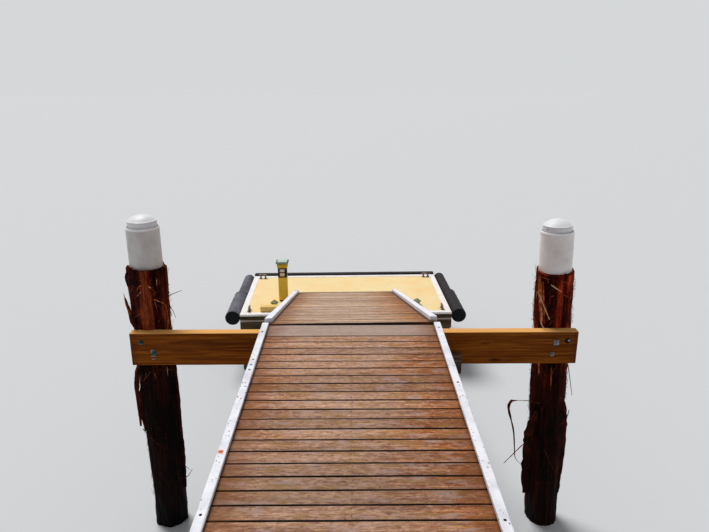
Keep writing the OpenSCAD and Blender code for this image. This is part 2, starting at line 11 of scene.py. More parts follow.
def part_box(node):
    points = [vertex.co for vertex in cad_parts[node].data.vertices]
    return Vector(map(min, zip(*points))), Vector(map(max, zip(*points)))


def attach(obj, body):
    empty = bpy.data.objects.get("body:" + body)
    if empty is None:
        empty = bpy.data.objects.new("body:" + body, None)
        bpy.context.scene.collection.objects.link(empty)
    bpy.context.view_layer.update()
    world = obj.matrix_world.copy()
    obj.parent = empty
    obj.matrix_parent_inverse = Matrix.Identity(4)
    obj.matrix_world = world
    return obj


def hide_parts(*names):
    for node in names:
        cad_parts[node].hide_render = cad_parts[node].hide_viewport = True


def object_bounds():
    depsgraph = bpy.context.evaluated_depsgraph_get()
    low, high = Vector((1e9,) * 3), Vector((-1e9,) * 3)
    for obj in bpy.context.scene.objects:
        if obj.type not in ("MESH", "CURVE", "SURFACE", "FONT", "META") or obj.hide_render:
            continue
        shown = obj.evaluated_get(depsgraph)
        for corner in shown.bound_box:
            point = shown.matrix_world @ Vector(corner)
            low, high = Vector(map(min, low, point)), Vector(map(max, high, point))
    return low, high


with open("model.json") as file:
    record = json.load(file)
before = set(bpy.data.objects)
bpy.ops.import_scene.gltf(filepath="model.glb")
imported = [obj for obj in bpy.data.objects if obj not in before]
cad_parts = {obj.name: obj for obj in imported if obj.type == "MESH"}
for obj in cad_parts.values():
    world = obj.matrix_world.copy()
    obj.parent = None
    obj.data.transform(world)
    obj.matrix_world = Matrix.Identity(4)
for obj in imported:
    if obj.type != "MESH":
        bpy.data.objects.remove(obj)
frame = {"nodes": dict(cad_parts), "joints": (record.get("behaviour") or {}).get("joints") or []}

CAD_BOX = [list(corner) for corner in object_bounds()]

# Places that the rest of the scene is measured from, all read from the frame
KERB_LO, KERB_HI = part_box("kerbs_bay_1")
HINGE_Y, DECK_Z = KERB_HI.y, KERB_LO.z
WALK_X = (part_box("deck_bay_1")[0].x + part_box("deck_bay_1")[1].x) / 2
BEAM_LO, BEAM_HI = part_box("head_crossbeam")
AXIS = Vector([j for j in frame["joints"] if j["name"] == "gangway_hinge"][0]["pos_m"])

ROUND = 2 * math.pi


# Geometry kit

def shift(x, y, z):
    return Matrix.Translation((x, y, z))


def turned(degrees, axis):
    return Matrix.Rotation(math.radians(degrees), 4, axis)


def solids(node):
    """The points of each separate solid of a CAD node."""
    mesh = frame["nodes"][node].data
    co = np.empty(len(mesh.vertices) * 3)
    mesh.vertices.foreach_get("co", co)
    co = co.reshape(-1, 3)
    _, same = np.unique(np.round(co, 5), axis=0, return_inverse=True)
    same = same.reshape(-1)
    root = np.arange(same.max() + 1)

    def find(i):
        while root[i] != i:
            root[i] = root[root[i]]
            i = root[i]
        return i

    for a, b in mesh.edge_keys:
        root[find(same[a])] = find(same[b])
    group = np.array([find(i) for i in same])
    return [co[group == g] for g in np.unique(group)]


def gangway_frame():
    """The gangway's own frame: X along the hinge axis, Y down the slope."""
    kerb = max(solids("gangway_kerbs"), key=lambda c: c[:, 0].max())
    kerb = np.unique(np.round(kerb, 5), axis=0)
    far = kerb[:, 1] > (kerb[:, 1].min() + kerb[:, 1].max()) / 2
    run = kerb[far].mean(0) - kerb[~far].mean(0)
    return (shift(*AXIS) @ Matrix.Rotation(math.atan2(-run[0], run[1]), 4, "Z")
            @ Matrix.Rotation(math.atan2(run[2], math.hypot(run[0], run[1])), 4, "X"))


def float_frame():
    """The float's own frame: the origin at the middle of its deck, Y to the far edge."""
    panel = solids("float_deck")[0]
    middle = (panel.max(0) + panel.min(0)) / 2
    near = panel[panel[:, 1] < middle[1]]
    left, right = near[near[:, 0].argmin()], near[near[:, 0].argmax()]
    turn = math.atan2(right[1] - left[1], right[0] - left[0])
    return shift(middle[0], middle[1], panel[:, 2].max()) @ Matrix.Rotation(turn, 4, "Z")


def upright(points):
    """The frame of a round upright solid: Z along its axis, the origin at its lower end."""
    points = np.unique(np.round(points, 5), axis=0)
    centre = points.mean(0)
    rows = np.linalg.svd(points - centre, full_matrices=False)[2]
    axis = rows[np.abs(rows[:, 2]).argmax()]
    axis = axis * np.sign(axis[2])
    foot = centre + axis * ((points - centre) @ axis).min()
    return shift(*foot) @ Vector(axis).to_track_quat("Z", "Y").to_matrix().to_4x4()


PLACES = {"jetty": Matrix.Identity(4), "gangway": gangway_frame(), "float": float_frame()}


def boxes(node, body="jetty"):
    """Lowest and highest corner of each solid of a node, in the frame of its body."""
    back = np.array(PLACES[body].inverted())
    found = []
    for co in solids(node):
        local = co @ back[:3, :3].T + back[:3, 3]
        found.append((local.min(0), local.max(0)))
    return sorted(found, key=lambda b: (round(b[0][1], 3), round(b[0][0], 3)))


def noise(x, y, seed, wrap=256):
    """Smooth value noise from -1 to 1, which repeats every `wrap` cells of x."""
    table = np.random.default_rng(seed).uniform(-1, 1, (256, 256))
    xi, yi = np.floor(x).astype(int), np.floor(y).astype(int)
    fx, fy = x - xi, y - yi
    fx, fy = fx * fx * (3 - 2 * fx), fy * fy * (3 - 2 * fy)
    x0, x1 = xi % wrap, (xi + 1) % wrap
    y0, y1 = yi & 255, (yi + 1) & 255
    low = table[x0, y0] * (1 - fx) + table[x1, y0] * fx
    high = table[x0, y1] * (1 - fx) + table[x1, y1] * fx
    return low * (1 - fy) + high * fy


def put(name, data):
    """A new object in the scene."""
    obj = bpy.data.objects.new(name, data)
    bpy.context.scene.collection.objects.link(obj)
    return obj


class Shape:
    """A mesh put together from parts, with what its material reads at each point."""

    def __init__(self):
        self.points, self.faces, self.grain, self.look = [], [], [], []
        self.count = 0

    def add(self, points, faces, grain, look, place=PLACES["jetty"]):
        turn = np.array(place)
        self.faces += [tuple(int(i) + self.count for i in f) for f in faces]
        self.count += len(points)
        self.points.append(np.asarray(points, float) @ turn[:3, :3].T + turn[:3, 3])
        self.grain.append(grain)
        self.look.append(look)

    def piece(self, name, body, finish, *replaced, slot=None, angle=40):
        """Makes an object of the mesh, with its finish as its material; the `slot` argument is not
        used.
        """
        mesh = bpy.data.meshes.new(name)
        mesh.from_pydata(np.concatenate(self.points).tolist(), [], self.faces)
        for key, data in (("grain", self.grain), ("look", self.look)):
            attribute = mesh.attributes.new(key, "FLOAT_VECTOR", "POINT")
            attribute.data.foreach_set("vector", np.concatenate(data).astype(np.float32).ravel())
        mesh.validate()
        mesh.shade_smooth()
        mesh.set_sharp_from_angle(angle=math.radians(angle))
        mesh.materials.append(FINISHES[finish])
        obj = put(name, mesh)
        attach(obj, body)
        if replaced:
            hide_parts(*replaced)


def ring_faces(rings, around):
    """Quads between neighbouring rings of points."""
    k, i = np.meshgrid(np.arange(rings - 1), np.arange(around), indexing="ij")
    low, high, j = k * around, (k + 1) * around, (i + 1) % around
    return np.stack([low + i, low + j, high + j, high + i], -1).reshape(-1, 4).tolist()


def tube_faces(rings, around):
    """Quads between neighbouring rings of points, and a flat face at either end."""
    last = (rings - 1) * around
    return ring_faces(rings, around) + [range(around)[::-1], range(last, last + around)]


ARC = 3  # straight edges in a rounded arris


def section(w, d, r, across):
    """A rounded rectangle, w wide and d deep, with each point's outward direction."""
    r = min(r, w * 0.45, d * 0.45)
    keep = min(0.002, (w - 2 * r) * 0.2, (d - 2 * r) * 0.2)
    points, normals = [], []
    for quarter, (cx, cy) in enumerate(((1, 1), (-1, 1), (-1, -1), (1, -1))):
        for k in range(ARC + 1):
            a = math.radians(90 * quarter + 90 * k / ARC)
            normals.append((math.cos(a), math.sin(a)))
            points.append((cx * (w / 2 - r) + r * math.cos(a), cy * (d / 2 - r) + r * math.sin(a)))
        (x, y), n = points[-1], normals[-1]
        length = (w if abs(n[1]) > 0.5 else d) - 2 * r
        between = [m / (across + 1) for m in range(1, across + 1)]
        for t in [keep / length, *between, 1 - keep / length]:
            points.append((x - n[1] * length * t, y + n[0] * length * t))
            normals.append(n)
    return np.array(points), np.array(normals)


def bar(shape, lo, hi, seed, r=0.003, step=0.06, rough=0.0006, cup=0.0, wear=0.0,
        place=PLACES["jetty"], axis=None, tone=None, across=3, gap_shade=False):
    """A timber that fills a box: rounded arrises, with faces worn in from the box by a little."""
    lo, hi = np.asarray(lo, float), np.asarray(hi, float)
    size, middle = hi - lo, (lo + hi) / 2
    axis = int(size.argmax()) if axis is None else axis
    wide, deep = [k for k in (0, 1, 2) if k != axis]
    rng = np.random.default_rng(seed)
    flat, normal = section(size[wide], size[deep], r, across)
    length = size[axis]
    inner = np.linspace(r, length - r, max(2, int(length / step)) + 1)
    stations = np.concatenate([[0, r * 0.3], inner, [length - r * 0.3, length]])
    inset = np.zeros(len(stations))
    inset[[0, -1]], inset[[1, -2]] = r * 0.7, r * 0.25
    k, i = np.meshgrid(np.arange(len(stations)), np.arange(len(flat)), indexing="ij")
    s = stations[k]
    edge = np.clip(1 - (np.abs(normal).max(1) - 0.7) / 0.3, 0, 1) ** 0.5
    drop = rough * (0.5 + 0.5 * noise(s * 9 + seed * 7.3, i * 0.45, 11 + seed % 40))
    dents = np.clip(noise(s * 5 + seed * 3.1, i * 0.2 + 9, 5 + seed % 30), 0, 1)
    drop += wear * (edge[i] > 0.05) * dents
    drop += inset[k]
    local = flat[i] - normal[i] * drop[..., None]
    if cup:
        local[..., 1] -= cup * np.clip(local[..., 1] / size[deep] + 0.5, 0, 1) * (
            np.abs(local[..., 0] / (size[wide] / 2)) ** 2)
    points = np.empty(local.shape[:2] + (3,))
    points[..., axis] = lo[axis] + s
    points[..., wide] = middle[wide] + local[..., 0]
    points[..., deep] = middle[deep] + local[..., 1]
    grain = np.stack([s + rng.uniform(0, 40), local[..., 0] + rng.uniform(0, 9),
                      local[..., 1] + rng.uniform(0, 9)], -1)
    tone = rng.uniform(0, 1) if tone is None else tone
    if gap_shade:  # a look of -1 marks the sides, the underside and the arris towards the shore, which take painted shade
        edge = np.where(normal[:, 1] < np.where(normal[:, 0] < 0, 0.9, 0.35), -1.0, edge)
    # the second look is 1 on the arrises, where the timber finishes paint a highlight and the white
    # paint chips
    look = np.stack([np.full(s.shape, tone), edge[i], s / length], -1)
    faces = tube_faces(len(stations), len(flat))
    if axis == 1:  # X and Z swap hands about Y
        faces = [f[::-1] for f in faces]
    shape.add(points.reshape(-1, 3), faces, grain.reshape(-1, 3), look.reshape(-1, 3), place)


def lathe(shape, profile, place, sides, look=(0.5, 0, 0), wobble=0.0, seed=1):
    """A turned shape about Z from (radius, height) points: it ends in a point or in a flat face."""
    profile = np.asarray(profile, float)
    look = np.broadcast_to(np.asarray(look, float), (len(profile), 3))
    first, last = int(profile[0, 0] == 0), len(profile) - int(profile[-1, 0] == 0)
    rings = profile[first:last]
    a = np.linspace(0, ROUND, sides, endpoint=False)
    r, z = (rings[:, k][:, None] * np.ones(sides) for k in (0, 1))
    if wobble:
        bend = noise(a[None, :] / ROUND * 7 + 0 * z, z * 9, seed, wrap=7)
        r = r * (1 - wobble * (0.5 + 0.5 * bend))
    points = np.stack([r * np.cos(a), r * np.sin(a), z], -1).reshape(-1, 3)
    grain = np.stack([np.broadcast_to(a * 0.1, r.shape), z, r], -1).reshape(-1, 3)
    looks = np.repeat(look[first:last], sides, axis=0)
    faces = ring_faces(len(rings), sides)
    for tip, row, ring, turn in ((first == 1, 0, 0, -1),
                                 (last < len(profile), -1, len(rings) - 1, 1)):
        around = [ring * sides + k for k in range(sides)][::turn]
        if tip:
            faces += [(around[k - 1], around[k], len(points)) for k in range(sides)]
            points = np.vstack([points, (0, 0, profile[row, 1])])
            grain = np.vstack([grain, (0, profile[row, 1], 0)])
            looks = np.vstack([looks, look[row]])
        else:
            faces.append(tuple(around))
    shape.add(points, faces, grain, looks, place)


def ribbon(shape, path, width, thick, across, tone, taper=1.0, samples=12, twist=0.0, seed=1,
           sides=6):
    """A thin curved strip along a smooth path: it narrows to both ends, mostly to the far one."""
    path = [Vector(p) for p in path]
    rng = np.random.default_rng(seed)
    fine = []
    for k in range(samples + 1):
        t = k / samples * (len(path) - 1)
        i = min(int(t), len(path) - 2)
        u = t - i
        p0, p1, p2, p3 = (path[min(max(i + n, 0), len(path) - 1)] for n in (-1, 0, 1, 2))
        fine.append(0.5 * ((2 * p1) + (p2 - p0) * u + (2 * p0 - 5 * p1 + 4 * p2 - p3) * u * u
                           + (3 * p1 - p0 - 3 * p2 + p3) * u ** 3))
    across = Vector(across).normalized()
    points, look = [], []
    for k, p in enumerate(fine):
        run = (fine[min(k + 1, samples)] - fine[max(k - 1, 0)]).normalized()
        flat = (across - run * across.dot(run)).normalized()
        side = Matrix.Rotation(twist * k / samples, 3, run) @ flat
        up = run.cross(side)
        t = k / samples
        narrow = min(1.0, 0.35 + 2.6 * t) * max(1 - taper * t ** 1.5, 0.08)
        w = width / 2 * narrow * rng.uniform(0.75, 1.1)
        h = thick / 2 * max(1 - 0.6 * t, 0.2)
        shade = min(max(tone + rng.uniform(-0.18, 0.18), 0), 1)
        for a in range(sides):
            turn = ROUND * a / sides
            spot = p + side * w * math.cos(turn) + up * h * math.sin(turn)
            spot.x = min(max(spot.x, CAD_BOX[0][0] + 0.001), CAD_BOX[1][0] - 0.001)
            points.append(spot)
            look.append((shade, 0.0, t))
    start = rng.uniform(0, 9)
    grain = np.array([(start + k // sides * 0.02, (k % sides) * width / 4, 0.0)
                      for k in range(len(points))])
    shape.add([tuple(p) for p in points], tube_faces(samples + 1, sides), grain, look)


# Material kit

FINISHES = {}
SYMBOLS = {"+": "ADD", "-": "SUBTRACT", "*": "MULTIPLY", "/": "DIVIDE"}


def colour(screen):
    """A colour as it shows on the screen, from 0 to 255, in the linear values of a shader."""
    parts = [v / 255 for v in screen]
    return (*[v / 12.92 if v <= 0.04045 else ((v + 0.055) / 1.055) ** 2.4 for v in parts], 1.0)


class Nodes:
    """A node tree in the making. Its colours come as three numbers, as the screen shows them."""

    def __init__(self, tree):
        self.tree = tree

    def link(self, value, into):
        """Feeds a socket from another, or sets it to a number, a vector or a colour."""
        if isinstance(value, bpy.types.NodeSocket):
            self.tree.links.new(value, into)
        else:
            shown = into.type == "RGBA" and len(value) == 3
            into.default_value = colour(value) if shown else value

    def node(self, kind, inputs, output=0, **settings):
        """The output of a new node, with its inputs fed or set."""
        n = self.tree.nodes.new("ShaderNode" + kind)
        for key, value in settings.items():
            setattr(n, key, value)
        for key, value in inputs.items():
            self.link(value, n.inputs[key])
        return n.outputs[output]

    def mix(self, share, a, b, how="MIX"):
        return self.node("Mix", {0: share, 6: a, 7: b}, 2, data_type="RGBA", blend_type=how)

    def math(self, how, a, b=0.0, c=0.0, clamp=False):
        how = SYMBOLS.get(how, how)
        return self.node("Math", {0: a, 1: b, 2: c}, operation=how, use_clamp=clamp)


class Paint(Nodes):
    """A node material, with the shade that its finish has come to so far."""

    def __init__(self, name, roughness, specular, metallic=0.0):
        self.name, self.shade, self.last_bump = name, None, None
        self.material = bpy.data.materials.new(name)
        self.material.use_nodes = True
        super().__init__(self.material.node_tree)
        self.shader = self.tree.nodes["Principled BSDF"].inputs
        self.shader["Roughness"].default_value = roughness
        self.shader["Specular IOR Level"].default_value = specular
        self.shader["Metallic"].default_value = metallic

    def attribute(self, name):
        return self.node("Attribute", {}, "Vector", attribute_name=name)

    def place(self):
        return self.node("TexCoord", {}, "Object")

    def split(self, vector):
        return self.node("SeparateXYZ", {0: vector}, slice(0, 3))

    def look(self):
        return self.split(self.attribute("look"))

    def stretch(self, vector, scale):
        return self.node("Mapping", {"Vector": vector, "Scale": scale})

    def noise(self, vector, scale, detail, rough=0.55, warp=0.0):
        return self.node("TexNoise", {"Vector": vector, "Scale": scale, "Detail": detail,
                                      "Roughness": rough, "Distortion": warp})

    def streaks(self, scale, detail=5, rough=0.6, warp=0.0):
        """Noise drawn out along the grain."""
        return self.noise(self.stretch(self.attribute("grain"), scale), 1, detail, rough, warp)

    def cells(self, vector, scale, output="Distance"):
        return self.node("TexVoronoi", {"Vector": vector, "Scale": scale}, output)

    def ramp(self, value, *stops):
        n = self.tree.nodes.new("ShaderNodeValToRGB")
        elements = n.color_ramp.elements
        while len(elements) < len(stops):
            elements.new(0.5)
        for element, (at, shade) in zip(elements, stops):
            element.position = at
            element.color = colour(shade) if isinstance(shade, tuple) else (shade,) * 3 + (1,)
        self.link(value, n.inputs[0])
        return n.outputs[0]

    def blend(self, share, tint, how="MIX"):
        self.shade = self.mix(share, self.shade, tint, how)

    def stain(self, *rows):
        """Blends tints in: not at all where `value` is at `clear`, by `share` where at `full`."""
        for value, clear, full, share, tint in rows:
            self.blend(self.ramp(value, *sorted(((clear, 0.0), (full, share)))), tint)

    def near(self, point, reach):
        """1 at a point of the object, falling to 0 at `reach` from it."""
        off = self.node("VectorMath", {0: self.place(), 1: point}, "Value", operation="DISTANCE")
        return self.math("-", 1, self.math("/", off, reach), clamp=True)

    def bump(self, height, distance, strength):
        inputs = {"Strength": strength, "Distance": distance, "Height": height}
        if self.last_bump is not None:
            inputs["Normal"] = self.last_bump
        self.last_bump = self.node("Bump", inputs)
        self.link(self.last_bump, self.shader["Normal"])

    def finish(self, value=None, low=0.0, high=0.0, span=(0.3, 0.7)):
        """Keeps the material. Its roughness goes from low to high over the span of `value`."""
        self.link(self.shade, self.shader["Base Color"])
        if value is not None:
            roughness = self.ramp(value, (span[0], low), (span[1], high))
            self.link(roughness, self.shader["Roughness"])
        FINISHES[self.name] = self.material

    def wood(self, dark, mid, light, streak=1.0):
        """Starts with the shade of sawn wood, and returns the heights of its fibre and figure."""
        fibre = self.streaks((5, 160 * streak, 160 * streak), 6, 0.65)
        figure = self.streaks((1.1, 26 * streak, 26 * streak), 4, 0.6, 0.8)
        both = self.math("+", self.math("*", fibre, 0.5), self.math("*", figure, 0.5))
        self.shade = self.ramp(both, (0.36, dark), (0.5, mid), (0.64, light))
        return fibre, figure


# Finishes

PATH_LEFT = 0.08  # how far left of the walkway's middle the boards are worn
SHEEN_START, SHEEN = 3.4, 0.4  # painted reflection of the sky: the boards are painted paler from 3.4 m before the hinge line, over 1 / 0.4 m
LIT_TOP_DEPTH, SHARPNESS = 0.0045, 600  # depth of a beam's top that is painted lit, and how hard its edge is


def deck_timber(name, dark, mid, light, worn_to, drift, half, near):
    """Oiled hardwood boards, greyed where feet go and still orange beside the kerbs, with painted
    highlights on their arrises, painted shade on their sides and shore-side arrises, and a painted
    shadow along the foot of the kerbs.

    The middle moves to the right by `drift` a metre towards the far end, the kerbs stand at
    `half` from it, and `near` is how bright the near end is painted, where a painted reflection of
    the sky begins that brightens the boards towards the far end.
    """
    p = Paint(name, 0.6, 0.18)
    fibre, _ = p.wood(dark, mid, light)
    tone, edge, _ = p.look()
    x, y, _ = p.split(p.place())
    middle = p.math("MULTIPLY_ADD", p.math("-", y, HINGE_Y), drift, WALK_X)
    side = p.math("ABSOLUTE", p.math("-", x, middle))
    trodden = p.math("ABSOLUTE", p.math("-", x, p.math("-", middle, PATH_LEFT)))
    patch = p.noise(p.stretch(p.place(), (2.2, 5, 5)), 1, 5, 0.6, 0.6)
    worn = p.math("-", p.math("+", patch, 0.46), p.math("*", trodden, 1.4), clamp=True)
    warm = p.mix(1, p.shade, (240, 190, 112), "MULTIPLY")
    grey = p.mix(0.34, p.shade, worn_to)
    p.shade = p.mix(p.ramp(worn, (0.2, 0.0), (0.7, 1.0)), warm, grey)
    dash = p.streaks((16, 150, 150), 3, 0.6, 0.5)
    speck = p.streaks((30, 74, 74), 4, 0.75, 0.6)
    blotch = p.streaks((3, 14, 14), 5, 0.7)
    p.stain((dash, 0.52, 0.68, 0.5, (96, 50, 26)),
            (dash, 0.44, 0.30, 0.35, (196, 164, 142)),
            (speck, 0.50, 0.66, 0.75, (84, 42, 22)),
            (speck, 0.48, 0.34, 0.5, (206, 172, 146)),
            (p.streaks((7, 26, 26)), 0.50, 0.62, 0.6, (138, 100, 42)),
            (p.streaks((9.3, 33, 29)), 0.52, 0.64, 0.55, (164, 138, 130)),
            (blotch, 0.56, 0.72, 0.6, (104, 46, 18)))
    p.blend(1, p.ramp(tone, (0, 0.80), (0.5, 0.98), (1, 1.14)), "MULTIPLY")
    # painted reflection of the sky: the boards are painted brighter towards the far end, from
    # `near` to 1.24
    way = p.math("*", p.math("-", y, HINGE_Y - SHEEN_START), SHEEN)
    p.blend(1, p.ramp(way, (0.0, near), (1.0, 1.24)), "MULTIPLY")
    p.blend(p.math("LESS_THAN", tone, -0.5), p.mix(0.55, p.shade, (184, 166, 156)))
    # painted highlight on the arrises
    p.blend(p.math("*", edge, 0.9, clamp=True), (220, 192, 172))
    # painted shade on the sides, the underside and the arris towards the shore, so that the gaps
    # read dark
    p.blend(p.math("*", edge, -0.97, clamp=True), (20, 9, 4))
    ends = p.math("-", p.math("+", side, p.math("*", blotch, 0.30)), half, clamp=True)
    # painted shadow: a dark band on the boards along the foot of each kerb
    kerb_shadow_side = p.math("+", side, p.math("*", p.noise(p.place(), 18, 3), 0.04))
    p.stain((ends, 0.0, 0.16, 0.75, p.mix(blotch, (124, 54, 18), (108, 74, 30))),
            (p.math("-", kerb_shadow_side, half), 0.0, 0.022, 0.85, (48, 24, 12)))
    p.bump(fibre, 0.0012, 0.6)
    p.bump(dash, 0.001, 0.5)
    p.finish(patch, 0.72, 0.55)


def plain_timber(name, dark, mid, light, roughness):
    """Sawn timber with a tone for each piece, stains along the grain and arrises painted paler as a
    painted highlight.
    """
    p = Paint(name, roughness, 0.12)
    fibre, figure = p.wood(dark, mid, light)
    tone, edge, _ = p.look()
    p.blend(1, p.ramp(tone, (0, 0.82), (1, 1.18)), "MULTIPLY")
    p.stain((p.streaks((1.4, 9, 9), 5, 0.65), 0.5, 0.7, 0.6, dark))
    # painted highlight on the arrises
    p.blend(p.math("*", edge, 0.3, clamp=True), light)
    p.bump(fibre, 0.001, 0.6)
    p.bump(figure, 0.002, 0.35)
    p.finish(fibre, roughness - 0.12, roughness + 0.1)


def beam_hardwood(name):
    """The orange-brown crossbeam: brown grain lines, knots, dark ends and a top painted lighter as
    painted light from above.
    """
    p = Paint(name, 0.6, 0.05)
    fibre, _ = p.wood((84, 37, 6), (130, 68, 12), (164, 95, 28), 0.8)
    lines = p.streaks((0.9, 60, 60), 3, 0.6, 0.4)
    knots = p.cells(p.stretch(p.attribute("grain"), (2.2, 7, 7)), 1)
    p.stain((lines, 0.50, 0.62, 0.6, (86, 34, 8)), (knots, 0.12, 0.04, 0.85, (48, 16, 6)))
    ends = p.ramp(p.look()[2], (0.0, 0.6), (0.02, 0.0), (0.985, 0.0), (1.0, 0.8))
    p.blend(ends, (84, 34, 12))
    p.stain((p.streaks((2, 6, 6), 4), 0.5, 0.75, 0.5, (112, 50, 14)))
    height = p.split(p.place())[2]
    # painted light: the top few millimetres are painted a brighter orange, as lit from above
    top = p.math("*", p.math("-", height, BEAM_HI.z - LIT_TOP_DEPTH), SHARPNESS, clamp=True)
    p.blend(top, p.mix(p.ramp(lines, (0.45, 0.0), (0.7, 0.5)), (240, 178, 104), (204, 132, 64)))
    p.bump(fibre, 0.0012, 0.5)
    p.bump(lines, 0.0015, 0.4)
    p.finish(fibre, 0.52, 0.7)


def bark():
    """Stringy bark: dark furrows, red-brown ridges, and black towards the water, both damp there
    and with painted shade under the deck.
    """
    p = Paint("bark", 0.9, 0.05)
    _, ridge, up = p.look()
    fibre = p.streaks((300, 16, 60), 5, 0.7, 0.5)
    patch = p.streaks((44, 5, 14), 5, 0.65, 0.4)
    strand = p.streaks((80, 5, 20), 3, 0.7, 1.2)
    flecks = p.streaks((60, 34, 30), 4, 0.75, 0.8)
    height = p.math("+", p.math("*", ridge, 0.62), p.math("*", fibre, 0.5))
    p.shade = p.ramp(height, (0.36, (14, 4, 4)), (0.52, (56, 16, 11)), (0.66, (104, 34, 20)),
                     (0.84, (168, 76, 40)))
    p.stain((patch, 0.56, 0.68, 0.5, (138, 54, 22)), (patch, 0.47, 0.36, 0.7, (28, 9, 7)),
            (strand, 0.50, 0.38, 0.7, (30, 9, 7)), (strand, 0.58, 0.68, 0.4, (112, 36, 22)),
            (flecks, 0.46, 0.36, 0.75, (24, 8, 7)), (flecks, 0.58, 0.70, 0.55, (128, 44, 26)))
    right = p.math("GREATER_THAN", p.split(p.place())[0], WALK_X)
    p.blend(right, p.mix(1, p.shade, (2.6, 1.75, 1.1, 1), "MULTIPLY"))
    # darker towards the water: damp bark, and painted shade below the deck
    wet_and_shade = p.ramp(up, (0.0, 1.0), (0.52, 0.98), (0.67, 0.85), (0.79, 0.0))
    p.blend(p.math("*", wet_and_shade, 0.97), (9, 7, 6))
    p.bump(fibre, 0.005, 1.0)
    p.bump(strand, 0.006, 0.7)
    p.finish(up, 0.65, 0.92, (0.1, 0.6))


def bark_strip():
    """Loose strips of bark: paler and more orange than what they peel from."""
    p = Paint("bark_strip", 0.85, 0.08)
    fibre = p.streaks((12, 700, 300))
    p.shade = p.ramp(p.look()[0], (0.0, (10, 5, 4)), (0.35, (82, 28, 14)), (0.7, (206, 104, 36)),
                     (1.0, (255, 208, 176)))
    p.stain((fibre, 0.6, 0.42, 0.6, (52, 18, 10)))
    p.bump(fibre, 0.0015, 0.8)
    p.finish(fibre, 0.75, 0.95)


def white_paint(name, base, grime, specks, rust=(), rim=False):
    """White outdoor paint with a grey bloom, specks of dirt and chips at its edges; on a rim
    instead of chips, the left tube painted darker as painted shade and a painted highlight on the
    lip.
    """
    p = Paint(name, 0.42, 0.4)
    where = p.place()
    tone, edge, _ = p.look()
    cloud = p.noise(where, 7, 6, 0.65)
    p.shade = p.mix(p.ramp(cloud, (0.42, 0.0), (0.72, 0.8)), base, grime)
    dots = p.cells(p.stretch(where, (60, 36, 60)), 1)
    spots = p.math("*", p.ramp(dots, (specks, 1.0), (specks + 0.12, 0.0)),
                   p.ramp(p.noise(where, 3.1, 3, 0.5), (0.42, 0.0), (0.56, 1.0)))
    p.blend(spots, (96, 92, 104))
    if rim:  # a tone for each tube, the left one painted darker as painted shade, and a painted highlight on the lip
        p.blend(1, p.ramp(tone, (0.5, 0.72), (0.9, 1.0)), "MULTIPLY")
        p.blend(edge, (250, 248, 248))
    else:
        flakes = p.ramp(p.noise(where, 34, 5, 0.7), (0.56, 0.0), (0.6, 0.9))
        p.blend(p.math("*", edge, flakes), (118, 92, 74))
    for point, reach in rust:
        spread = p.math("+", p.near(point, reach), p.math("*", p.noise(where, 90, 3), 0.3))
        p.stain((spread, 0.45, 0.7, 1.0, (232, 118, 20)), (spread, 0.75, 0.95, 0.9, (132, 54, 6)))
    p.bump(p.noise(where, 120, 3), 0.0004, 0.5)
    p.bump(cloud, 0.0015, 0.25)
    p.finish(cloud, 0.36, 0.58)


def metal(name, low, high, roughness, rust, metallic=0.85):
    """Zinc or stainless fittings: mottled spangle, dull wear and a little rust."""
    p = Paint(name, roughness, 0.3, metallic)
    where = p.place()
    cloud = p.noise(where, 40, 5, 0.6)
    p.shade = p.ramp(cloud, (0.35, low), (0.7, high))
    p.blend(0.12, p.cells(where, 220, "Color"), "OVERLAY")
    if rust:
        p.stain((p.noise(where, 26, 5, 0.7), 0.62 - rust, 0.72 - rust, 0.85, (112, 62, 34)))
    p.bump(cloud, 0.0006, 0.5)
    p.finish(cloud, roughness - 0.1, roughness + 0.15)


def rubber(name, body, worn, roughness):
    """Black marine rubber, bleached grey with salt and scuffed."""
    p = Paint(name, roughness, 0.15)
    where = p.place()
    cloud = p.noise(p.stretch(where, (10, 3, 10)), 1, 6, 0.65)
    fine = p.noise(where, 160, 3, 0.6)
    p.shade = p.ramp(cloud, (0.35, body), (0.68, worn))
    p.stain((fine, 0.6, 0.75, 0.4, worn))
    p.bump(fine, 0.0008, 0.5)
    p.bump(cloud, 0.003, 0.3)
    p.finish(cloud, roughness - 0.12, roughness + 0.12)


def moulded(name, base, second, roughness, grit=0.0, scale=8.0):
    """Painted or moulded plastic and board, with faint stains and a fine tooth."""
    p = Paint(name, roughness, 0.2)
    where = p.place()
    cloud = p.noise(where, scale, 6, 0.62)
    fine = p.noise(where, 420 if grit else 140, 3, 0.6)
    p.shade = p.ramp(cloud, (0.38, base), (0.72, second))
    p.stain((fine, 0.6, 0.35, 0.16, tuple(v * 0.7 for v in base)))
    p.bump(fine, 0.0012 if grit else 0.0004, max(grit, 0.4))
    p.bump(cloud, 0.002, 0.2)
    p.finish(cloud, roughness - 0.08, roughness + 0.12)


def dark_hole():
    """The shadowed inside of a screw hole."""
    p = Paint("dark_hole", 0.9, 0.1)
    p.shade = p.ramp(p.noise(p.place(), 300, 3), (0.3, (20, 17, 18)), (0.7, (46, 38, 36)))
    p.finish()


ALONG = PLACES["gangway"].col[1]
RUST = [((WALK_X + x, HINGE_Y - back, KERB_HI.z), reach) for x, back, reach in (
    (-0.594, 1.535, 0.024), (-0.602, 1.036, 0.008), (0.589, 0.879, 0.013))]

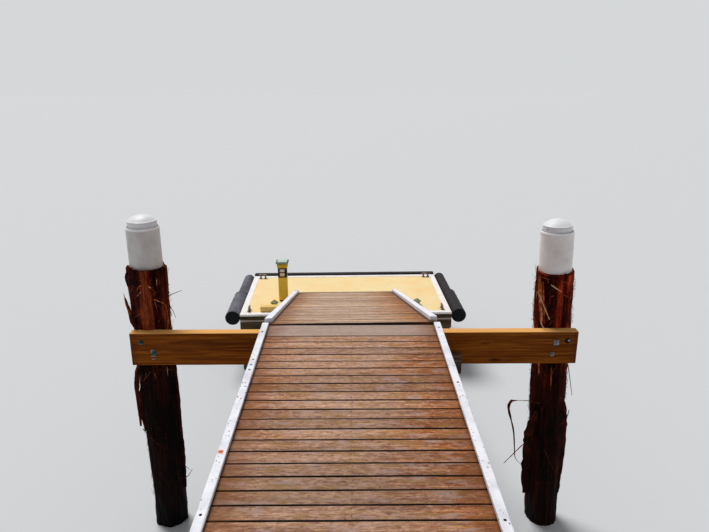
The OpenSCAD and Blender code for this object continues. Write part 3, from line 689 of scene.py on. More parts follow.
# What makes each finish, the name that its pieces call it by, and how it looks
FINISH_ROWS = (
    (deck_timber, "deck_timber", (70, 32, 14), (150, 104, 74), (212, 168, 136),
     (176, 142, 122), 0.0, 0.570, 0.80),
    (deck_timber, "ramp_timber", (98, 64, 40), (174, 140, 112), (236, 208, 184),
     (212, 184, 162), ALONG.x / ALONG.y, 0.548, 0.9),
    (plain_timber, "joist_timber", (34, 22, 18), (74, 52, 42), (112, 86, 68), 0.75),
    (plain_timber, "ramp_frame", (44, 32, 26), (88, 66, 52), (124, 98, 78), 0.72),
    (moulded, "ramp_frame_cad", (84, 62, 48), (52, 38, 30), 0.72, 0.6, 14.0),
    (beam_hardwood, "beam_hardwood"),
    (beam_hardwood, "bay_hardwood"),
    (bark,),
    (bark_strip,),
    (white_paint, "kerb_paint", (244, 243, 248), (196, 194, 206), 0.17, RUST),
    (white_paint, "ramp_kerb_paint", (246, 246, 252), (206, 204, 220), 0.06),
    (white_paint, "sleeve_white", (250, 244, 242), (222, 212, 208), 0.03, (), True),
    (white_paint, "cap_white", (238, 237, 239), (226, 224, 229), 0.03),
    (metal, "galvanised", (96, 102, 108), (160, 166, 170), 0.45, 0.02),
    (metal, "tarnished", (34, 62, 62), (88, 116, 112), 0.5, 0.0),
    (moulded, "post_label", (26, 24, 24), (40, 36, 34), 0.4),
    (moulded, "plate_upper", (236, 220, 214), (206, 190, 186), 0.4),
    (moulded, "plate_lower", (246, 226, 186), (218, 196, 158), 0.4),
    (metal, "screw_steel", (122, 88, 66), (156, 118, 92), 0.8, 0.06, 0.0),
    (metal, "ramp_screw_steel", (206, 180, 156), (226, 200, 178), 0.8, 0.02, 0.0),
    (dark_hole,),
    (moulded, "toe_cream", (236, 222, 184), (206, 190, 150), 0.5),
    (rubber, "roller_rubber", (26, 26, 28), (60, 58, 60), 0.62),
    (plain_timber, "float_timber", (34, 26, 16), (72, 58, 38), (108, 92, 62), 0.7),
    (plain_timber, "ledge_timber", (110, 96, 84), (158, 144, 130), (190, 178, 166), 0.65),
    (moulded, "panel_cream", (255, 229, 172), (255, 216, 152), 0.7, 1.0, 3.0),
    (white_paint, "edging_white", (255, 250, 248), (238, 222, 214), 0.08),
    (rubber, "fender_left", (66, 64, 72), (124, 122, 134), 0.6),
    (rubber, "fender_right", (13, 10, 12), (42, 36, 38), 0.6),
    (rubber, "fender_black", (9, 11, 12), (24, 25, 27), 0.7),
    (rubber, "strip_rubber", (22, 19, 20), (52, 46, 47), 0.7),
    (metal, "cleat_metal", (70, 62, 54), (150, 142, 132), 0.5, 0.06),
    (metal, "knob_cast", (112, 122, 88), (172, 176, 130), 0.7, 0.08, 0.3),
    (moulded, "post_yellow", (255, 214, 84), (244, 194, 62), 0.5),
    (moulded, "post_ochre", (226, 190, 60), (204, 166, 40), 0.55),
    (moulded, "post_pale", (204, 222, 206), (176, 196, 182), 0.5),
    (moulded, "step_yellow", (252, 214, 136), (238, 194, 106), 0.6),
    (moulded, "tank_plastic", (44, 46, 50), (28, 29, 32), 0.5))


# The walkway

def timbers(name, node, body, finish, **how):
    """One piece for a CAD node whose solids are all straight timbers."""
    shape = Shape()
    for k, (lo, hi) in enumerate(boxes(node, body)):
        bar(shape, lo, hi, seed=len(name) * 13 + k * 7 + 1, place=PLACES[body], **how)
    shape.piece(name, body, finish, node)


def boards(name, node, body, finish):
    """Deck boards: each a little cupped, with its own tone and worn edges."""
    shape = Shape()
    for k, (lo, hi) in enumerate(boxes(node, body)):
        rng = np.random.default_rng(900 + k * 17 + len(node))
        lo[1] += rng.uniform(0, 0.0012)
        hi[1] -= rng.uniform(0, 0.0012)
        lo[0] += rng.uniform(0, 0.002)
        hi[0] -= rng.uniform(0, 0.002)
        hi[2] -= rng.uniform(0, 0.0012)
        grey = body == "jetty" and hi[1] > HINGE_Y - 0.05  # the first board at the hinge
        bar(shape, lo, hi, seed=300 + k * 3 + len(node), r=0.004, rough=0.0007, across=2,
            cup=rng.uniform(-0.001, 0.0012), wear=0.0016, place=PLACES[body], gap_shade=True,
            tone=-1.0 if grey else None)
    shape.piece(name, body, finish, node)


def deck_screws(name, node, body, finish, carriers, size=1.0):
    """Countersunk screws: a pair in each board of a node over each timber that carries it."""
    shape = Shape()
    rng = np.random.default_rng(77)
    profile = [(0.0, -0.0012), (0.0018, -0.0004), (0.0036, 0.0), (0.0040, -0.0040)]
    lines = sorted({round(float(lo[0] + hi[0]) / 2, 3) for lo, hi in boxes(carriers, body)})
    for lo, hi in boxes(node, body):
        for x in lines:
            for share in (0.24, 0.76):
                y = lo[1] + (hi[1] - lo[1]) * share + rng.uniform(-0.004, 0.004)
                spot = shift(x + rng.uniform(-0.006, 0.006), y, hi[2] + 0.0004)
                lathe(shape, profile, PLACES[body] @ spot @ Matrix.Scale(size, 4), 7,
                      (rng.uniform(), 0, 0))
    shape.piece(name, body, finish)


def make_walkway():
    for n in (1, 2, 3):
        boards(f"boards_bay_{n}", f"deck_bay_{n}", "jetty", "deck_timber")
        deck_screws(f"screws_bay_{n}", f"deck_bay_{n}", "jetty", "screw_steel", f"joists_bay_{n}")
        timbers(f"white_kerbs_bay_{n}", f"kerbs_bay_{n}", "jetty", "kerb_paint",
                r=0.004, step=0.04, rough=0.0012, wear=0.003)
        timbers(f"joist_timbers_bay_{n}", f"joists_bay_{n}", "jetty", "joist_timber", step=0.12)
    timbers("ledger_timbers", "ledgers", "jetty", "joist_timber", r=0.004, step=0.1)
    timbers("bay_beams", "bay_crossbeams", "jetty", "bay_hardwood",
            r=0.005, step=0.08, rough=0.0012, wear=0.002)
    timbers("head_beam", "head_crossbeam", "jetty", "beam_hardwood",
            r=0.004, step=0.05, rough=0.0012, wear=0.003, across=7)
    make_kerb_fixings()
    make_beam_bolts()


def make_kerb_fixings():
    """Screws sunk in the kerbs, where the photograph shows dark holes, and on in the same way."""
    shape = Shape()
    x = (KERB_HI.x - KERB_LO.x) / 2 - 0.022  # 22 mm in from the kerb's outer face
    seen = [(-1, 0.160), (1, 0.100), (-1, 0.58), (-1, 0.65), (-1, 0.716), (1, 0.879)]
    rng = np.random.default_rng(5)
    more = [(side, 1.9 + 0.75 * k + rng.uniform(-0.1, 0.1)) for side in (-1, 1) for k in range(9)]
    profile = [(0.0, 0.0004), (0.0035, 0.0004), (0.0055, 0.0009), (0.0065, 0.0005),
               (0.0068, -0.002)]
    for side, back in seen + more:
        lathe(shape, profile, shift(WALK_X + side * x, HINGE_Y - back, KERB_HI.z - 0.0004), 14)
    # the dark finish of these heads is painted shade of their holes
    shape.piece("kerb_fixings", "jetty", "dark_hole", slot="kerb_paint")


def bolt(shape, x, y, z, s, plate, turn, proud=1.0):
    """A coach bolt's nut on its round washer or square plate, with the thread's end proud of it."""
    seat = shift(x, y, z) @ turned(90, "X")
    if plate:
        bar(shape, (-plate, -plate, 0.0), (plate, plate, 0.005), 3, r=0.0015, step=0.03,
            rough=0.0002, place=seat @ Matrix.Rotation(0.08, 4, "Z"))
    else:
        lathe(shape, [(0, 0), (0.025 * s, 0), (0.025 * s, 0.0025), (0.0235 * s, 0.0038),
                      (0.011 * s, 0.004), (0, 0.004)], seat, 40)
    r, h = 0.0165 * s, 0.013 * s
    nut = seat @ Matrix.Rotation(turn, 4, "Z") @ shift(0, 0, 0.005 if plate else 0.0038)
    lathe(shape, [(0, 0), (r * 0.94, 0), (r, 0.001), (r, h - 0.0012), (r * 0.9, h),
                  (0.009 * s, h), (0.009 * s, h * 0.7)], nut, 6)
    end = h + 0.009 * proud
    lathe(shape, [(0, 0), (0.0078 * s, 0), (0.0078 * s, end - 0.003), (0.006 * s, end),
                  (0, end + 0.0005)], nut, 24)


def make_beam_bolts():
    """Bolts of the head crossbeam as photographed, and two at each pile of the others."""
    bright, dark, others, hole, stub = (Shape() for _ in range(5))
    front = BEAM_LO.y
    for shape, x, z, size, plate, turn in (
            (bright, 1.400, 0.107, 0.8, 0.018, 0.15), (bright, 1.378, 0.193, 0.62, 0, 0.5),
            (bright, -1.358, 0.160, 0.6, 0, 0.2), (dark, -1.4315, 0.094, 0.72, 0, 0.7),
            (dark, -1.350, 0.172, 0.75, 0, 0.7)):
        bolt(shape, WALK_X + x, front, DECK_Z - z, size, plate, turn)
    for z, reach in ((0.195, 0.015), (0.217, 0.012)):  # two short bars beside the left pile
        bar(bright, (WALK_X - 1.356 - reach, front - 0.004, DECK_Z - z - 0.003),
            (WALK_X - 1.356 + reach, front + 0.004, DECK_Z - z + 0.003), 9, r=0.0015, step=0.01)
    bright.piece("head_bolts", "jetty", "galvanised")
    dark.piece("tarnished_bolt", "jetty", "tarnished")
    for lo, hi in boxes("bay_crossbeams"):
        for pile in (p for p in PILES if abs(p.y - hi[1]) <= 0.3):
            for dx, share in ((-0.035, 0.3), (0.035, 0.72)):
                z = lo[2] + (hi[2] - lo[2]) * share
                bolt(others, pile.x(z) + dx, lo[1], z, 0.8, 0, dx * 20, 0.3)
    others.piece("bay_bolts", "jetty", "galvanised")
    # a dark disc stands for the counterbore, painted with the shade of its hole
    at = shift(WALK_X + 1.476, front, DECK_Z - 0.0933) @ turned(90, "X")
    lathe(hole, [(0, 0.0005), (0.019, 0.0005), (0.0205, 0.0012), (0.021, 0.0)], at, 32)
    hole.piece("counterbore", "jetty", "dark_hole", slot="beam_hardwood")
    lathe(stub, [(0, 0.001), (0.0085, 0.001), (0.0085, 0.007), (0.006, 0.0095), (0, 0.01)],
          at @ shift(0.007, 0.002, 0), 24)
    stub.piece("counterbore_stub", "jetty", "galvanised")


# Piles and bark

PILE_R, PILE_TAPER = 0.1393, 0.007  # the bark's radius at its top, and its loss a metre down
BARK_DEPTH, BARK_MEAN = 0.021, 0.009  # how far in the deepest furrow and the mean surface lie


class Pile:
    """Where a pile stands: its axis, its crossbeam and the top of its bark."""

    def __init__(self, sleeve):
        self.x_top, self.y, self.top = sleeve.translation
        self.slope = sleeve.col[2].x / sleeve.col[2].z
        beams = [hi[1] for node in ("head_crossbeam", "bay_crossbeams") for _, hi in boxes(node)]
        self.face = min(beams, key=lambda face: abs(face - self.y))

    def x(self, z):
        return self.x_top + self.slope * (z - self.top)

    def radius(self, z):
        return PILE_R - PILE_TAPER * (self.top - z)


SLEEVES = [upright(points) for points in solids("pile_sleeves")]
PILES = [Pile(sleeve) for sleeve in SLEEVES]


def bark_heights(u, z, seed):
    """How far the bark stands out, 0 to 1: plates, ridges and strands that wander upwards."""
    def wave(v, turns, rise, n):
        return noise(v * turns, z * rise, seed + n, turns)

    v = u + (0.020 * wave(u, 5, 1.3, 0) + 0.008 * wave(u, 16, 4, 1))
    ridge = 1 - np.abs(wave(v, 26, 2.3, 3)) * 1.7
    strand = 1 - np.abs(wave(v, 70, 6, 4)) * 1.8
    plate = np.tanh(4 * wave(v, 13, 3.4, 5))
    lump = np.clip(wave(v, 20, 8, 8), 0, 1)
    return np.clip(0.33 + 0.17 * wave(v, 9, 1.3, 2) + 0.24 * ridge + 0.13 * strand + 0.18 * plate
                   + 0.34 * lump, 0, 1)


def log_piece(shape, pile, seed, around, rings):
    """A bark-covered pile: ridges, furrows, its flat seat for the crossbeam and a ragged top."""
    seat_lo, seat_hi = BEAM_LO.z, BEAM_HI.z
    z = np.unique(np.concatenate([np.linspace(0, pile.top, rings),
                                  [seat_lo - 0.001, seat_lo, seat_hi, seat_hi + 0.001]]))
    up, turn = np.meshgrid(z, np.linspace(0, ROUND, around, endpoint=False), indexing="ij")
    u = turn / ROUND
    height = bark_heights(u, up, seed)
    r = pile.radius(up) - BARK_DEPTH * (1 - height)
    points = np.stack([pile.x(up) + r * np.cos(turn), pile.y + r * np.sin(turn), up], -1)
    seat = (up >= seat_lo - 1e-6) & (up <= seat_hi + 1e-6) & (points[..., 1] < pile.face)
    points[..., 1] = np.where(seat, pile.face, points[..., 1])
    # above the beam the rings tip with the pile, and the last is ragged with standing fibres
    tip = np.clip((up - seat_hi) / (pile.top - seat_hi), 0, 1)
    points[..., 2] -= tip * pile.slope * r * np.cos(turn)
    ragged = (0.011 * noise(u[-1] * 40, seed, seed + 6, 40)
              + 0.009 * noise(u[-1] * 11, 3, seed + 7, 11))
    points[-1, :, 2] += np.clip(ragged, -0.008, 0.018)
    inner, centre = [], np.array((pile.x_top, pile.y))
    for share, drop in ((0.93, 0.002), (0.84, 0.010)):
        ring = points[-1].copy()
        ring[:, :2] = centre + (ring[:, :2] - centre) * share
        ring[:, 2] = ring[:, 2] - drop if drop < 0.005 else pile.top - drop
        inner.append(ring)
    grain = np.stack([turn * 0.14, up, r], -1)
    look = np.stack([np.full_like(up, 0.5), height, up / pile.top], -1)
    pale = np.tile([0.5, 0.8, 1.0], (2 * around, 1))
    last = (len(z) + 1) * around
    faces = ring_faces(len(z) + 2, around) + [range(last, last + around), range(around)[::-1]]
    shape.add(np.concatenate([points.reshape(-1, 3)] + inner), faces,
              np.concatenate([grain.reshape(-1, 3)] + inner),
              np.concatenate([look.reshape(-1, 3), pale]))


def on_bark(pile, a, z, out):
    """A point on a pile, `out` beyond its mean surface, at the bearing a and the height z."""
    r = pile.radius(z) - BARK_MEAN + out
    return (pile.x(z) + r * math.cos(a), pile.y + r * math.sin(a), z)


def clear(pile, path):
    """Whether a strip keeps inside the part's box and off the crossbeam and the sleeve."""
    limit = max(abs(CAD_BOX[0][0]), abs(CAD_BOX[1][0])) - 0.006
    for x, y, z in path:
        beside_beam = BEAM_LO.z - 0.01 < z < BEAM_HI.z + 0.01 and y < pile.face + 0.004
        if abs(x) > limit or z < 0.02 or z > pile.top + 0.04 or beside_beam:
            return False
    return True


def loose_strips(shape, pile, seed, count):
    """Strips of bark that lift from a pile at one end."""
    rng = np.random.default_rng(seed)
    for k in range(count):
        a = rng.uniform(0, ROUND)
        z = rng.uniform(0.15, 0.93) * pile.top
        length = rng.choice((-1, -1, 1)) * rng.uniform(0.06, 0.3)
        lift = rng.uniform(0.003, 0.018)
        path = [on_bark(pile, a + rng.uniform(-0.06, 0.06) * t, z + length * t,
                        lift * t ** 1.5 - 0.004 * (t == 0)) for t in (0, 0.35, 0.7, 1.0)]
        if not clear(pile, path):
            continue
        # strips lower down are darker: damp, and in painted shade
        tone = rng.uniform(0.05, 0.55) * (1 if z > 0.6 * pile.top else 0.2)
        ribbon(shape, path, rng.uniform(0.004, 0.018), 0.003, (-math.sin(a), math.cos(a), 0), tone,
               twist=rng.uniform(-0.6, 0.6), seed=seed + k)


def bark_hairs(shape, pile, seed, count):
    """Short stiff fibres that stand off the bark every way, most of them near upright."""
    rng = np.random.default_rng(seed)
    for k in range(count):
        a = rng.uniform(0, ROUND)
        z = rng.uniform(0.04, 0.99) ** 0.7 * pile.top
        if abs(z - BEAM_LO.z) < 0.02 or abs(z - BEAM_HI.z) < 0.01:
            continue
        length = rng.uniform(0.015, 0.085)
        tilt = rng.normal(0, 0.75)
        rise, go = math.cos(tilt) * rng.choice((-1, 1)), math.sin(tilt) / 0.13
        lift, curl = rng.uniform(0.003, 0.021), rng.uniform(-0.5, 0.5)
        path = [on_bark(pile, a + go * length * t + curl * t * t * length * 8,
                        z + rise * length * t, lift * t - 0.003 * (t == 0)) for t in (0, 0.5, 1.0)]
        if not clear(pile, path):
            continue
        # fibres lower down are darker: damp, and in painted shade
        wet_and_shade = 1 if z > 0.62 * pile.top else 0.25
        tone = wet_and_shade * (rng.uniform(0.65, 0.95) if rng.uniform() < 0.14 else rng.uniform(0, 0.6))
        ribbon(shape, path, rng.uniform(0.002, 0.0065), 0.002, (-math.sin(a), math.cos(a), 0.2),
               tone, taper=0.8, samples=4, seed=seed + k, sides=4)


def make_piles():
    for n, node in enumerate(("head_piles", "second_piles", "third_piles", "shore_piles")):
        for points in solids(node):
            spot = Vector(points.mean(0)).xy
            pile = min(PILES, key=lambda p: (Vector((p.x_top, p.y)) - spot).length)
            side = "left" if pile.x_top < WALK_X else "right"
            name = node.replace("_piles", "_pile_") + side
            seed = 40 + n * 11 + (0 if side == "left" else 200)
            log, strips = Shape(), Shape()
            log_piece(log, pile, seed, *((180, 288) if n == 0 else (84, 120)))
            log.piece(name, "jetty", "bark", node, angle=80)
            loose_strips(strips, pile, seed + 5, 60 if n == 0 else 22)
            bark_hairs(strips, pile, seed + 9, 900 if n == 0 else 160)
            if n == 0:
                photographed_strips(strips, *SEEN[side])
            strips.piece(name + "_strips", "jetty", "bark_strip", angle=80)


# What the photograph shows on the head piles, traced through its camera and in mm from the
# walkway's middle, the hinge line and the deck: each strip has its width, thickness,
# direction across, tone and taper, and then its path; a strand has only its path
FACE, FLAT, FLAP, LEVEL, EDGE = (1, 0, 0), (0.6, -1, 0), (1, 0, 0.3), (0, 0, 1), (1, 0.2, 0)
LEFT_STRIPS = (
    (40, 9, FLAP, 0.22, 0.85, (-1470, 0, -40), (-1500, -10, 50), (-1522, 20, 120),
     (-1538, 20, 200)),
    (20, 7, FLAP, 0.45, 0.9, (-1480, 10, -10), (-1510, 0, 90), (-1534, 10, 160), (-1540, 10, 235)),
    (26, 7, FLAP, 0.15, 0.8, (-1470, 20, -20), (-1505, 30, 60), (-1530, 30, 110), (-1541, 30, 150)),
    (22, 7, FACE, 0.05, 0.4, (-1483, -30, 400), (-1503, -15, 345), (-1493, -18, 290)),
    (6, 4, LEVEL, 0.6, 0.5, (-1430, -50, 270), (-1405, -59, 306), (-1352, -51, 308),
     (-1313, -30, 252)),
    (12, 6, LEVEL, 1, 0.3, (-1350, -46, 300), (-1335, -44, 290)),
    (7, 4, LEVEL, 0.75, 0.5, (-1325, -30, 205), (-1312, -28, 196), (-1287, 0, 169),
     (-1272, 40, 136)),
    (12, 5, FACE, 0.7, 0.5, (-1290, 20, -100), (-1268, 45, 20), (-1272, 40, 136)),
    (48, 12, EDGE, 0.35, 0.6, (-1500, 30, -300), (-1532, 30, -450), (-1538, 30, -620),
     (-1536, 30, -800)),
    (40, 12, EDGE, 0.15, 0.6, (-1495, 10, -320), (-1525, 10, -460), (-1534, 20, -600),
     (-1530, 20, -740)),
    (44, 12, EDGE, 0.2, 0.6, (-1500, 50, -450), (-1520, 60, -600), (-1526, 60, -700),
     (-1515, 60, -860)),
    (30, 16, FLAP, 0.12, 0.3, (-1276, 110, -260), (-1270, 110, -450), (-1268, 110, -680),
     (-1274, 110, -920)),
    (34, 16, FLAP, 0.04, 0.3, (-1282, 110, -720), (-1272, 110, -950), (-1272, 110, -1150),
     (-1280, 110, -1380)))
LEFT_STRANDS = (
    ((-1285, 110, 165), (-1251, 129, 182), (-1184, 146, 205)),
    ((-1268, 110, 100), (-1254, 129, 57), (-1240, 132, 5)),
    ((-1300, 60, -1130), (-1250, 60, -1160), (-1218, 60, -1197)),
    ((-1300, 60, -1270), (-1240, 60, -1250), (-1200, 60, -1190)),
    ((-1491, -60, -769), (-1420, -65, -860), (-1332, -50, -955)),
    ((-1290, 60, -300), (-1268, 60, -370), (-1258, 60, -420)))
RIGHT_STRIPS = (
    (11, 5, FACE, 0.95, 0.5, (1279, 46, 223), (1297, 5, 172), (1321, -24, 110), (1348, -42, 48)),
    (14, 6, FACE, 0.85, 0.5, (1300, 0, 130), (1306, -6, 50), (1306, -12, 5), (1318, -30, -16)),
    (10, 5, LEVEL, 1, 0.5, (1340, -30, 295), (1353, -48, 288), (1377, -56, 273), (1402, -60, 257)),
    (34, 6, FLAT, 0.66, 0.4, (1282, 45, 330), (1287, 28, 236), (1297, 14, 120), (1307, 0, 5)),
    (20, 5, FLAT, 0.58, 0.5, (1300, 20, 300), (1306, 5, 200), (1315, -10, 100), (1322, -16, 10)),
    (22, 6, FLAT, 0.7, 0.5, (1312, 10, -268), (1318, 2, -320), (1322, -2, -372)),
    (86, 14, FLAP, 0.1, 0.2, (1340, 30, -700), (1318, 50, -840), (1306, 60, -980),
     (1322, 60, -1200)),
    (80, 14, FLAP, 0.05, 0.2, (1345, 50, -920), (1322, 70, -1080), (1314, 80, -1220),
     (1332, 70, -1420)),
    (46, 14, FLAP, 0.08, 0.2, (1535, 30, -620), (1556, 40, -780), (1566, 50, -980),
     (1568, 50, -1240)),
    (44, 14, FLAP, 0.03, 0.2, (1540, 60, -900), (1562, 70, -1050), (1570, 70, -1220),
     (1568, 70, -1420)),
    (30, 8, FLAT, 0.22, 0.7, (1215, 143, -672), (1182, 151, -684), (1172, 155, -760),
     (1198, 150, -850)),
    (20, 7, FLAT, 0.14, 0.6, (1176, 154, -740), (1200, 149, -850), (1222, 146, -950),
     (1236, 143, -1080)))
RIGHT_STRANDS = (
    ((1500, 0, -265), (1515, -24, -310), (1541, -4, -398), (1582, 20, -560)),
    ((1490, -30, -780), (1540, -20, -740), (1579, 32, -684)),
    ((1395, -60, -953), (1440, -60, -1060), (1500, -30, -1170)),
    ((1300, 130, -1030), (1250, 140, -1100), (1168, 158, -1219)),
    ((1350, -10, -612), (1303, 100, -650), (1229, 141, -668)),
    ((1229, 141, -668), (1184, 151, -678), (1166, 155, -731), (1190, 150, -820),
     (1219, 146, -912), (1236, 143, -1060), (1248, 141, -1160), (1300, 125, -1215)))
SEEN = {"left": (LEFT_STRIPS, LEFT_STRANDS), "right": (RIGHT_STRIPS, RIGHT_STRANDS)}


def photographed_strips(shape, strips, strands):
    """The flaps, splinters and hanging strands that the photograph shows on a head pile."""
    def traced(path):
        return [(WALK_X + x / 1000, HINGE_Y + y / 1000, DECK_Z + z / 1000) for x, y, z in path]

    for k, (width, thick, across, tone, taper, *path) in enumerate(strips):
        ribbon(shape, traced(path), width / 1000, thick / 1000, across, tone, taper, samples=18,
               seed=k + 1)
    for k, path in enumerate(strands):
        ribbon(shape, traced(path), 0.020 if len(path) > 7 else 0.010, 0.006, FLAT, 0.3, 0.5,
               samples=20, seed=k + 50)


CAP_RISE = 0.042  # height of a cap's dome over its neck


def turned_size(points, base):
    """Greatest radius, lowest and highest point of a turned solid, in the frame `base`."""
    local = (points - np.array(base.translation)) @ np.array(base.to_3x3())
    return np.hypot(local[:, 0], local[:, 1]).max(), local[:, 2].min(), local[:, 2].max()


def make_sleeves():
    """White pile sleeves with a rolled rim, and domed caps with a soft shoulder."""
    tubes, caps, screws = Shape(), Shape(), Shape()
    for k, (base, points) in enumerate(zip(SLEEVES, solids("pile_sleeves"))):
        r, _, h = turned_size(points, base)
        tube = [(r - 0.008, 0.0), (r - 0.001, 0.0), (r - 0.0002, 0.001), (r - 0.0006, 0.05),
                (r - 0.0002, h * 0.5), (r - 0.0008, h - 0.030), (r - 0.0014, h - 0.017),
                (r - 0.0002, h - 0.0145), (r - 0.0002, h - 0.012), (r - 0.006, h - 0.0005),
                (r - 0.0075, h), (r - 0.008, h - 0.002), (r - 0.009, h - 0.04), (r - 0.009, 0.0)]
        # the left tube takes a darker tone as painted shade, and the lip's rows a painted highlight
        tone = 0.9 if base.translation.x > WALK_X else 0.5
        looks = [(tone, 1.0 if 6 < row < 12 else 0.0, 0.0) for row in range(len(tube))]
        lathe(tubes, tube, base, 80, looks, wobble=0.004, seed=k + 3)
        cap = min(solids("sleeve_caps"), key=lambda c: np.linalg.norm(c.mean(0) - points.mean(0)))
        cr, low, high = turned_size(cap, base)
        neck = high - CAP_RISE
        dome = (cr * cr + CAP_RISE * CAP_RISE) / (2 * CAP_RISE)
        profile = [(0, low), (cr - 0.010, low), (cr - 0.010, h), (cr - 0.001, h + 0.001),
                   (cr - 0.001, neck - 0.008), (cr - 0.0035, neck - 0.006), (cr, neck - 0.003),
                   (cr - 0.0012, neck + 0.003)]
        for t in np.linspace(0.96, 0.0, 12):
            a = math.asin(cr / dome) * t
            profile.append((dome * math.sin(a), high - dome * (1 - math.cos(a))))
        lathe(caps, profile, base, 80, wobble=0.003, seed=k + 30)
        for a in (250, 300 if k % 2 else 60):  # bearings of the two screws in the lid's skirt
            out = turned(a, "Z") @ turned(90, "Y")
            spot = base @ shift(0, 0, h + 0.016) @ out @ shift(0, 0, cr - 0.002)
            lathe(screws, [(0, 0.002), (0.003, 0.0022), (0.0045, 0.0012), (0.005, 0.0)], spot, 12)
    tubes.piece("sleeve_tubes", "jetty", "sleeve_white", "pile_sleeves")
    caps.piece("dome_caps", "jetty", "cap_white", "sleeve_caps")
    # the cap screws are painted dark with the shade of their holes
    screws.piece("cap_screws", "jetty", "dark_hole", slot="cap_white")


# The gangway

def make_gangway():
    boards("gangway_boards", "gangway_deck", "gangway", "ramp_timber")
    deck_screws("gangway_screws", "gangway_deck", "gangway", "ramp_screw_steel",
                "gangway_stringers", 0.6)
    timbers("gangway_white_kerbs", "gangway_kerbs", "gangway", "ramp_kerb_paint",
            step=0.05, wear=0.001)
    timbers("gangway_nogging_timbers", "gangway_noggings", "gangway", "ramp_frame", step=0.1)
    timbers("gangway_toe_strip", "toe_strip", "gangway", "toe_cream",
            r=0.002, step=0.05, rough=0.0004)
    # the stringers keep their CAD shape, with its level toe cut and axle holes
    wear_cad("ramp_frame_cad", "gangway_stringers")
    wear_cad("galvanised", "hinge_straps", "hinge_pins", "hinge_brackets", "foot_axle")
    wear_cad("roller_rubber", "foot_rollers")


def wear_cad(finish, *nodes):
    """Gives CAD nodes that are shown as they are a finish of their own."""
    for node in nodes:
        mesh = frame["nodes"][node].data
        mesh.materials.clear()
        mesh.materials.append(FINISHES[finish])


# The float

def make_float():
    for name, node, finish in (("waler_timbers", "float_walers", "float_timber"),
                               ("bearer_timbers", "float_bearers", "float_timber"),
                               ("ledge_timbers", "float_ledges", "ledge_timber"),
                               ("rim_timbers", "float_rim", "float_timber"),
                               ("side_timbers", "float_sides", "float_timber"),
                               ("float_joist_timbers", "float_joists", "float_timber")):
        timbers(name, node, "float", finish, r=0.004, step=0.08, rough=0.001, wear=0.002)
    timbers("panel", "float_deck", "float", "panel_cream", axis=0, r=0.002, rough=0.0004,
            across=12)
    for name, node in (("edging_long", "float_edging"), ("edging_sides", "side_edging")):
        timbers(name, node, "float", "edging_white", r=0.004, step=0.05, wear=0.0015)
    make_fenders()
    wear_cad("cleat_metal", "cleats")
    wear_cad("tank_plastic", "float_tanks")
    wear_cad("knob_cast", "mooring_knobs")
    block("step", "step_yellow", *boxes("step_box", "float")[0], "step_box", r=0.008)
    make_post()


def make_fenders():
    """Rubber fenders in two lengths a side, ribbed a little, with black moulded ends."""
    s = 0.014  # radius of the shoulder at either end
    for side in ("left", "right"):
        shape, ends = Shape(), Shape()
        for k, (lo, hi) in enumerate(boxes(side + "_fenders", "float")):
            r, length = (hi[2] - lo[2]) / 2, hi[1] - lo[1]
            axis = (PLACES["float"] @ shift((lo[0] + hi[0]) / 2, lo[1], (lo[2] + hi[2]) / 2)
                    @ turned(-90, "X"))
            profile = [(r - s, 0.0006)] + [(r - s + s * math.sin(a), s - s * math.cos(a))
                                           for a in np.linspace(0.15, math.pi / 2, 6)]
            for y in np.linspace(0.03, length - 0.03, 24):
                profile.append((r - 0.0022 * (0.5 + 0.5 * math.cos(y * 40)), y))
            profile += [(q, length - y) for q, y in profile[6::-1]]
            lathe(shape, profile, axis, 56, wobble=0.012, seed=k + 20)
            for at, turn in ((0.0, 0), (length, 180)):
                lathe(ends, [(0, -0.0005), (r * 0.5, -0.001), (r - 0.010, -0.001),
                             (r - 0.004, 0.002), (r - 0.0008, 0.010), (r - 0.001, 0.022)],
                      axis @ shift(0, 0, at) @ turned(turn, "X"), 56)
        shape.piece(side + "_rubbers", "float", "fender_" + side, side + "_fenders")
        ends.piece(side + "_rubbers_ends", "float", "fender_black")
    timbers("far_rubber_strip", "far_rubber", "float", "strip_rubber",
            r=0.012, step=0.08, rough=0.0008, wear=0.002)


def block(name, finish, lo, hi, *replaced, r=0.004, slot=None):
    """A piece that is one rounded block, between two corners in the float's frame."""
    shape = Shape()
    bar(shape, lo, hi, len(name), r, 0.03, 0.0003, place=PLACES["float"], axis=2, across=4)
    shape.piece(name, "float", finish, *replaced, slot=slot)


LABEL_T, LABEL_H = 0.003, 0.118  # how far the label stands out, and its height
FOOT_SHADE_H, LID_SHADE_H = 0.012, 0.009     # heights of the bands painted dark as shade under the post and under its lid
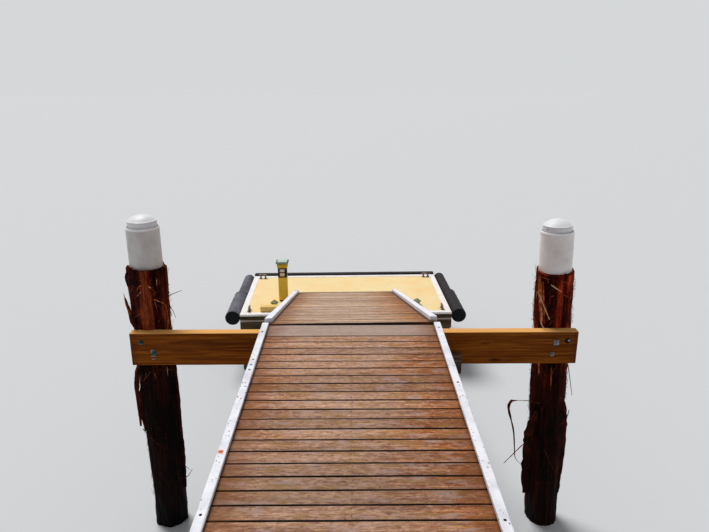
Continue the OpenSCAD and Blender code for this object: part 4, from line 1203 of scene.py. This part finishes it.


def make_post():
    """The service post: a set-back foot painted black as shade under the post, a bare label panel,
    its collar, and its pale cap over a dark band painted as its shade.
    """
    lo, hi = boxes("post_body", "float")[0]
    front, base = lo[1] + LABEL_T, hi[2] - LABEL_H
    block("post_column", "post_yellow", (lo[0], front, lo[2] + FOOT_SHADE_H), hi, "post_body", r=0.009)
    # a foot painted black: painted shade under the post
    block("post_foot", "fender_black", (lo[0] + 0.006, front + 0.006, lo[2]),
          (hi[0] - 0.006, hi[1] - 0.006, lo[2] + FOOT_SHADE_H + 0.01), slot="post_yellow")
    block("post_label", "post_label", (lo[0] - 0.0004, lo[1], base),
          (hi[0] + 0.0004, hi[1] - 0.02, hi[2]), r=0.0025)
    for name, low, high in (("upper", 0.070, 0.104), ("lower", 0.018, 0.056)):
        block("label_plate_" + name, "plate_" + name, (lo[0] + 0.022, lo[1] - 0.0012, base + low),
              (hi[0] - 0.026, lo[1] + 0.002, base + high), r=0.0008)
    block("post_ring", "post_ochre", *boxes("post_collar", "float")[0], "post_collar", r=0.006)
    lo, hi = boxes("post_cap", "float")[0]
    # a dark band under the lid: painted shade of its overhang
    block("post_lid_lip", "post_label", (lo[0] + 0.004, lo[1] + 0.004, lo[2]),
          (hi[0] - 0.004, hi[1] - 0.004, lo[2] + LID_SHADE_H + 0.004), r=0.002)
    lid = Shape()
    for inset, low, high, seed, r, rough in (
            (0.0, lo[2] + LID_SHADE_H, hi[2] - 0.011, 5, 0.004, 0.0003),
            (0.017, hi[2] - 0.013, hi[2], 6, 0.005, 0.0002)):
        bar(lid, (lo[0] + inset, lo[1] + inset, low), (hi[0] - inset, hi[1] - inset, high), seed,
            r, 0.03, rough, place=PLACES["float"], axis=2, across=4)
    lid.piece("post_lid", "float", "post_pale", "post_cap")


# Camera and light

# The photograph's camera, from the walkway's middle, the hinge line and the deck, and in degrees
EYE_RIGHT, EYE_BACK, EYE_UP = 0.0025, 4.0211, 1.6740
EYE_TURN, EYE_PITCH, EYE_ROLL = -0.2854, 17.2708, -0.1283
FOCAL_PX, PHOTO_PX = 630.72, 709  # its focal length and its picture's width
SENSOR = 36.0
SUN, SUN_ANGLE, SUN_WAY = 2.45, 28, (4, -6, -12)
SKY, HORIZON = 0.33, (213, 215, 217)
FLOOR_REACH, FLOOR_TONE = 90.0, (213, 214, 215)


def make_camera():
    """The photograph's camera, as it was fitted to the boards' lines and the horizon."""
    data = bpy.data.cameras.new("camera")
    data.sensor_width = SENSOR
    data.lens = FOCAL_PX / PHOTO_PX * SENSOR
    data.clip_end = 500
    camera = put("camera", data)
    camera.matrix_world = (shift(WALK_X + EYE_RIGHT, HINGE_Y - EYE_BACK, DECK_Z + EYE_UP)
                           @ turned(EYE_TURN, "Z") @ turned(90 - EYE_PITCH, "X")
                           @ turned(EYE_ROLL, "Z"))
    bpy.context.scene.camera = camera


def make_light():
    """A soft sun from above and behind the far end, and an even sky."""
    data = bpy.data.lights.new("soft_sun", "SUN")
    data.energy = SUN
    data.angle = math.radians(SUN_ANGLE)
    put("soft_sun", data).rotation_euler = Vector(SUN_WAY).to_track_quat("-Z", "Y").to_euler()
    world = bpy.data.worlds.new("sky")
    bpy.context.scene.world = world
    world.use_nodes = True
    w = Nodes(world.node_tree)
    seen = 0.0
    for ray in ("Camera", "Glossy", "Transmission"):  # these see the horizon, and the rest the sky
        seen = w.math("MAXIMUM", w.node("LightPath", {}, f"Is {ray} Ray"), seen)
    shade = w.mix(seen, (SKY * 0.94, SKY * 0.97, SKY, 1), HORIZON)
    w.link(shade, w.tree.nodes["Background"].inputs["Color"])


def make_floor():
    """A plain pale floor, level with the pile feet."""
    mesh = bpy.data.meshes.new("floor")
    s = FLOOR_REACH
    mesh.from_pydata([(-s, -s, 0), (s, -s, 0), (s, s, 0), (-s, s, 0)], [], [(0, 1, 2, 3)])
    p = Paint("floor_paint", 0.9, 0.2)
    p.shade = FLOOR_TONE
    p.finish()
    mesh.materials.append(FINISHES["floor_paint"])
    put("floor", mesh)


def main():
    for make, *row in FINISH_ROWS:
        make(*row)
    make_camera()
    make_light()
    make_floor()
    make_walkway()
    make_piles()
    make_sleeves()
    make_gangway()
    make_float()
    bpy.context.scene.view_settings.view_transform = "Standard"


main()
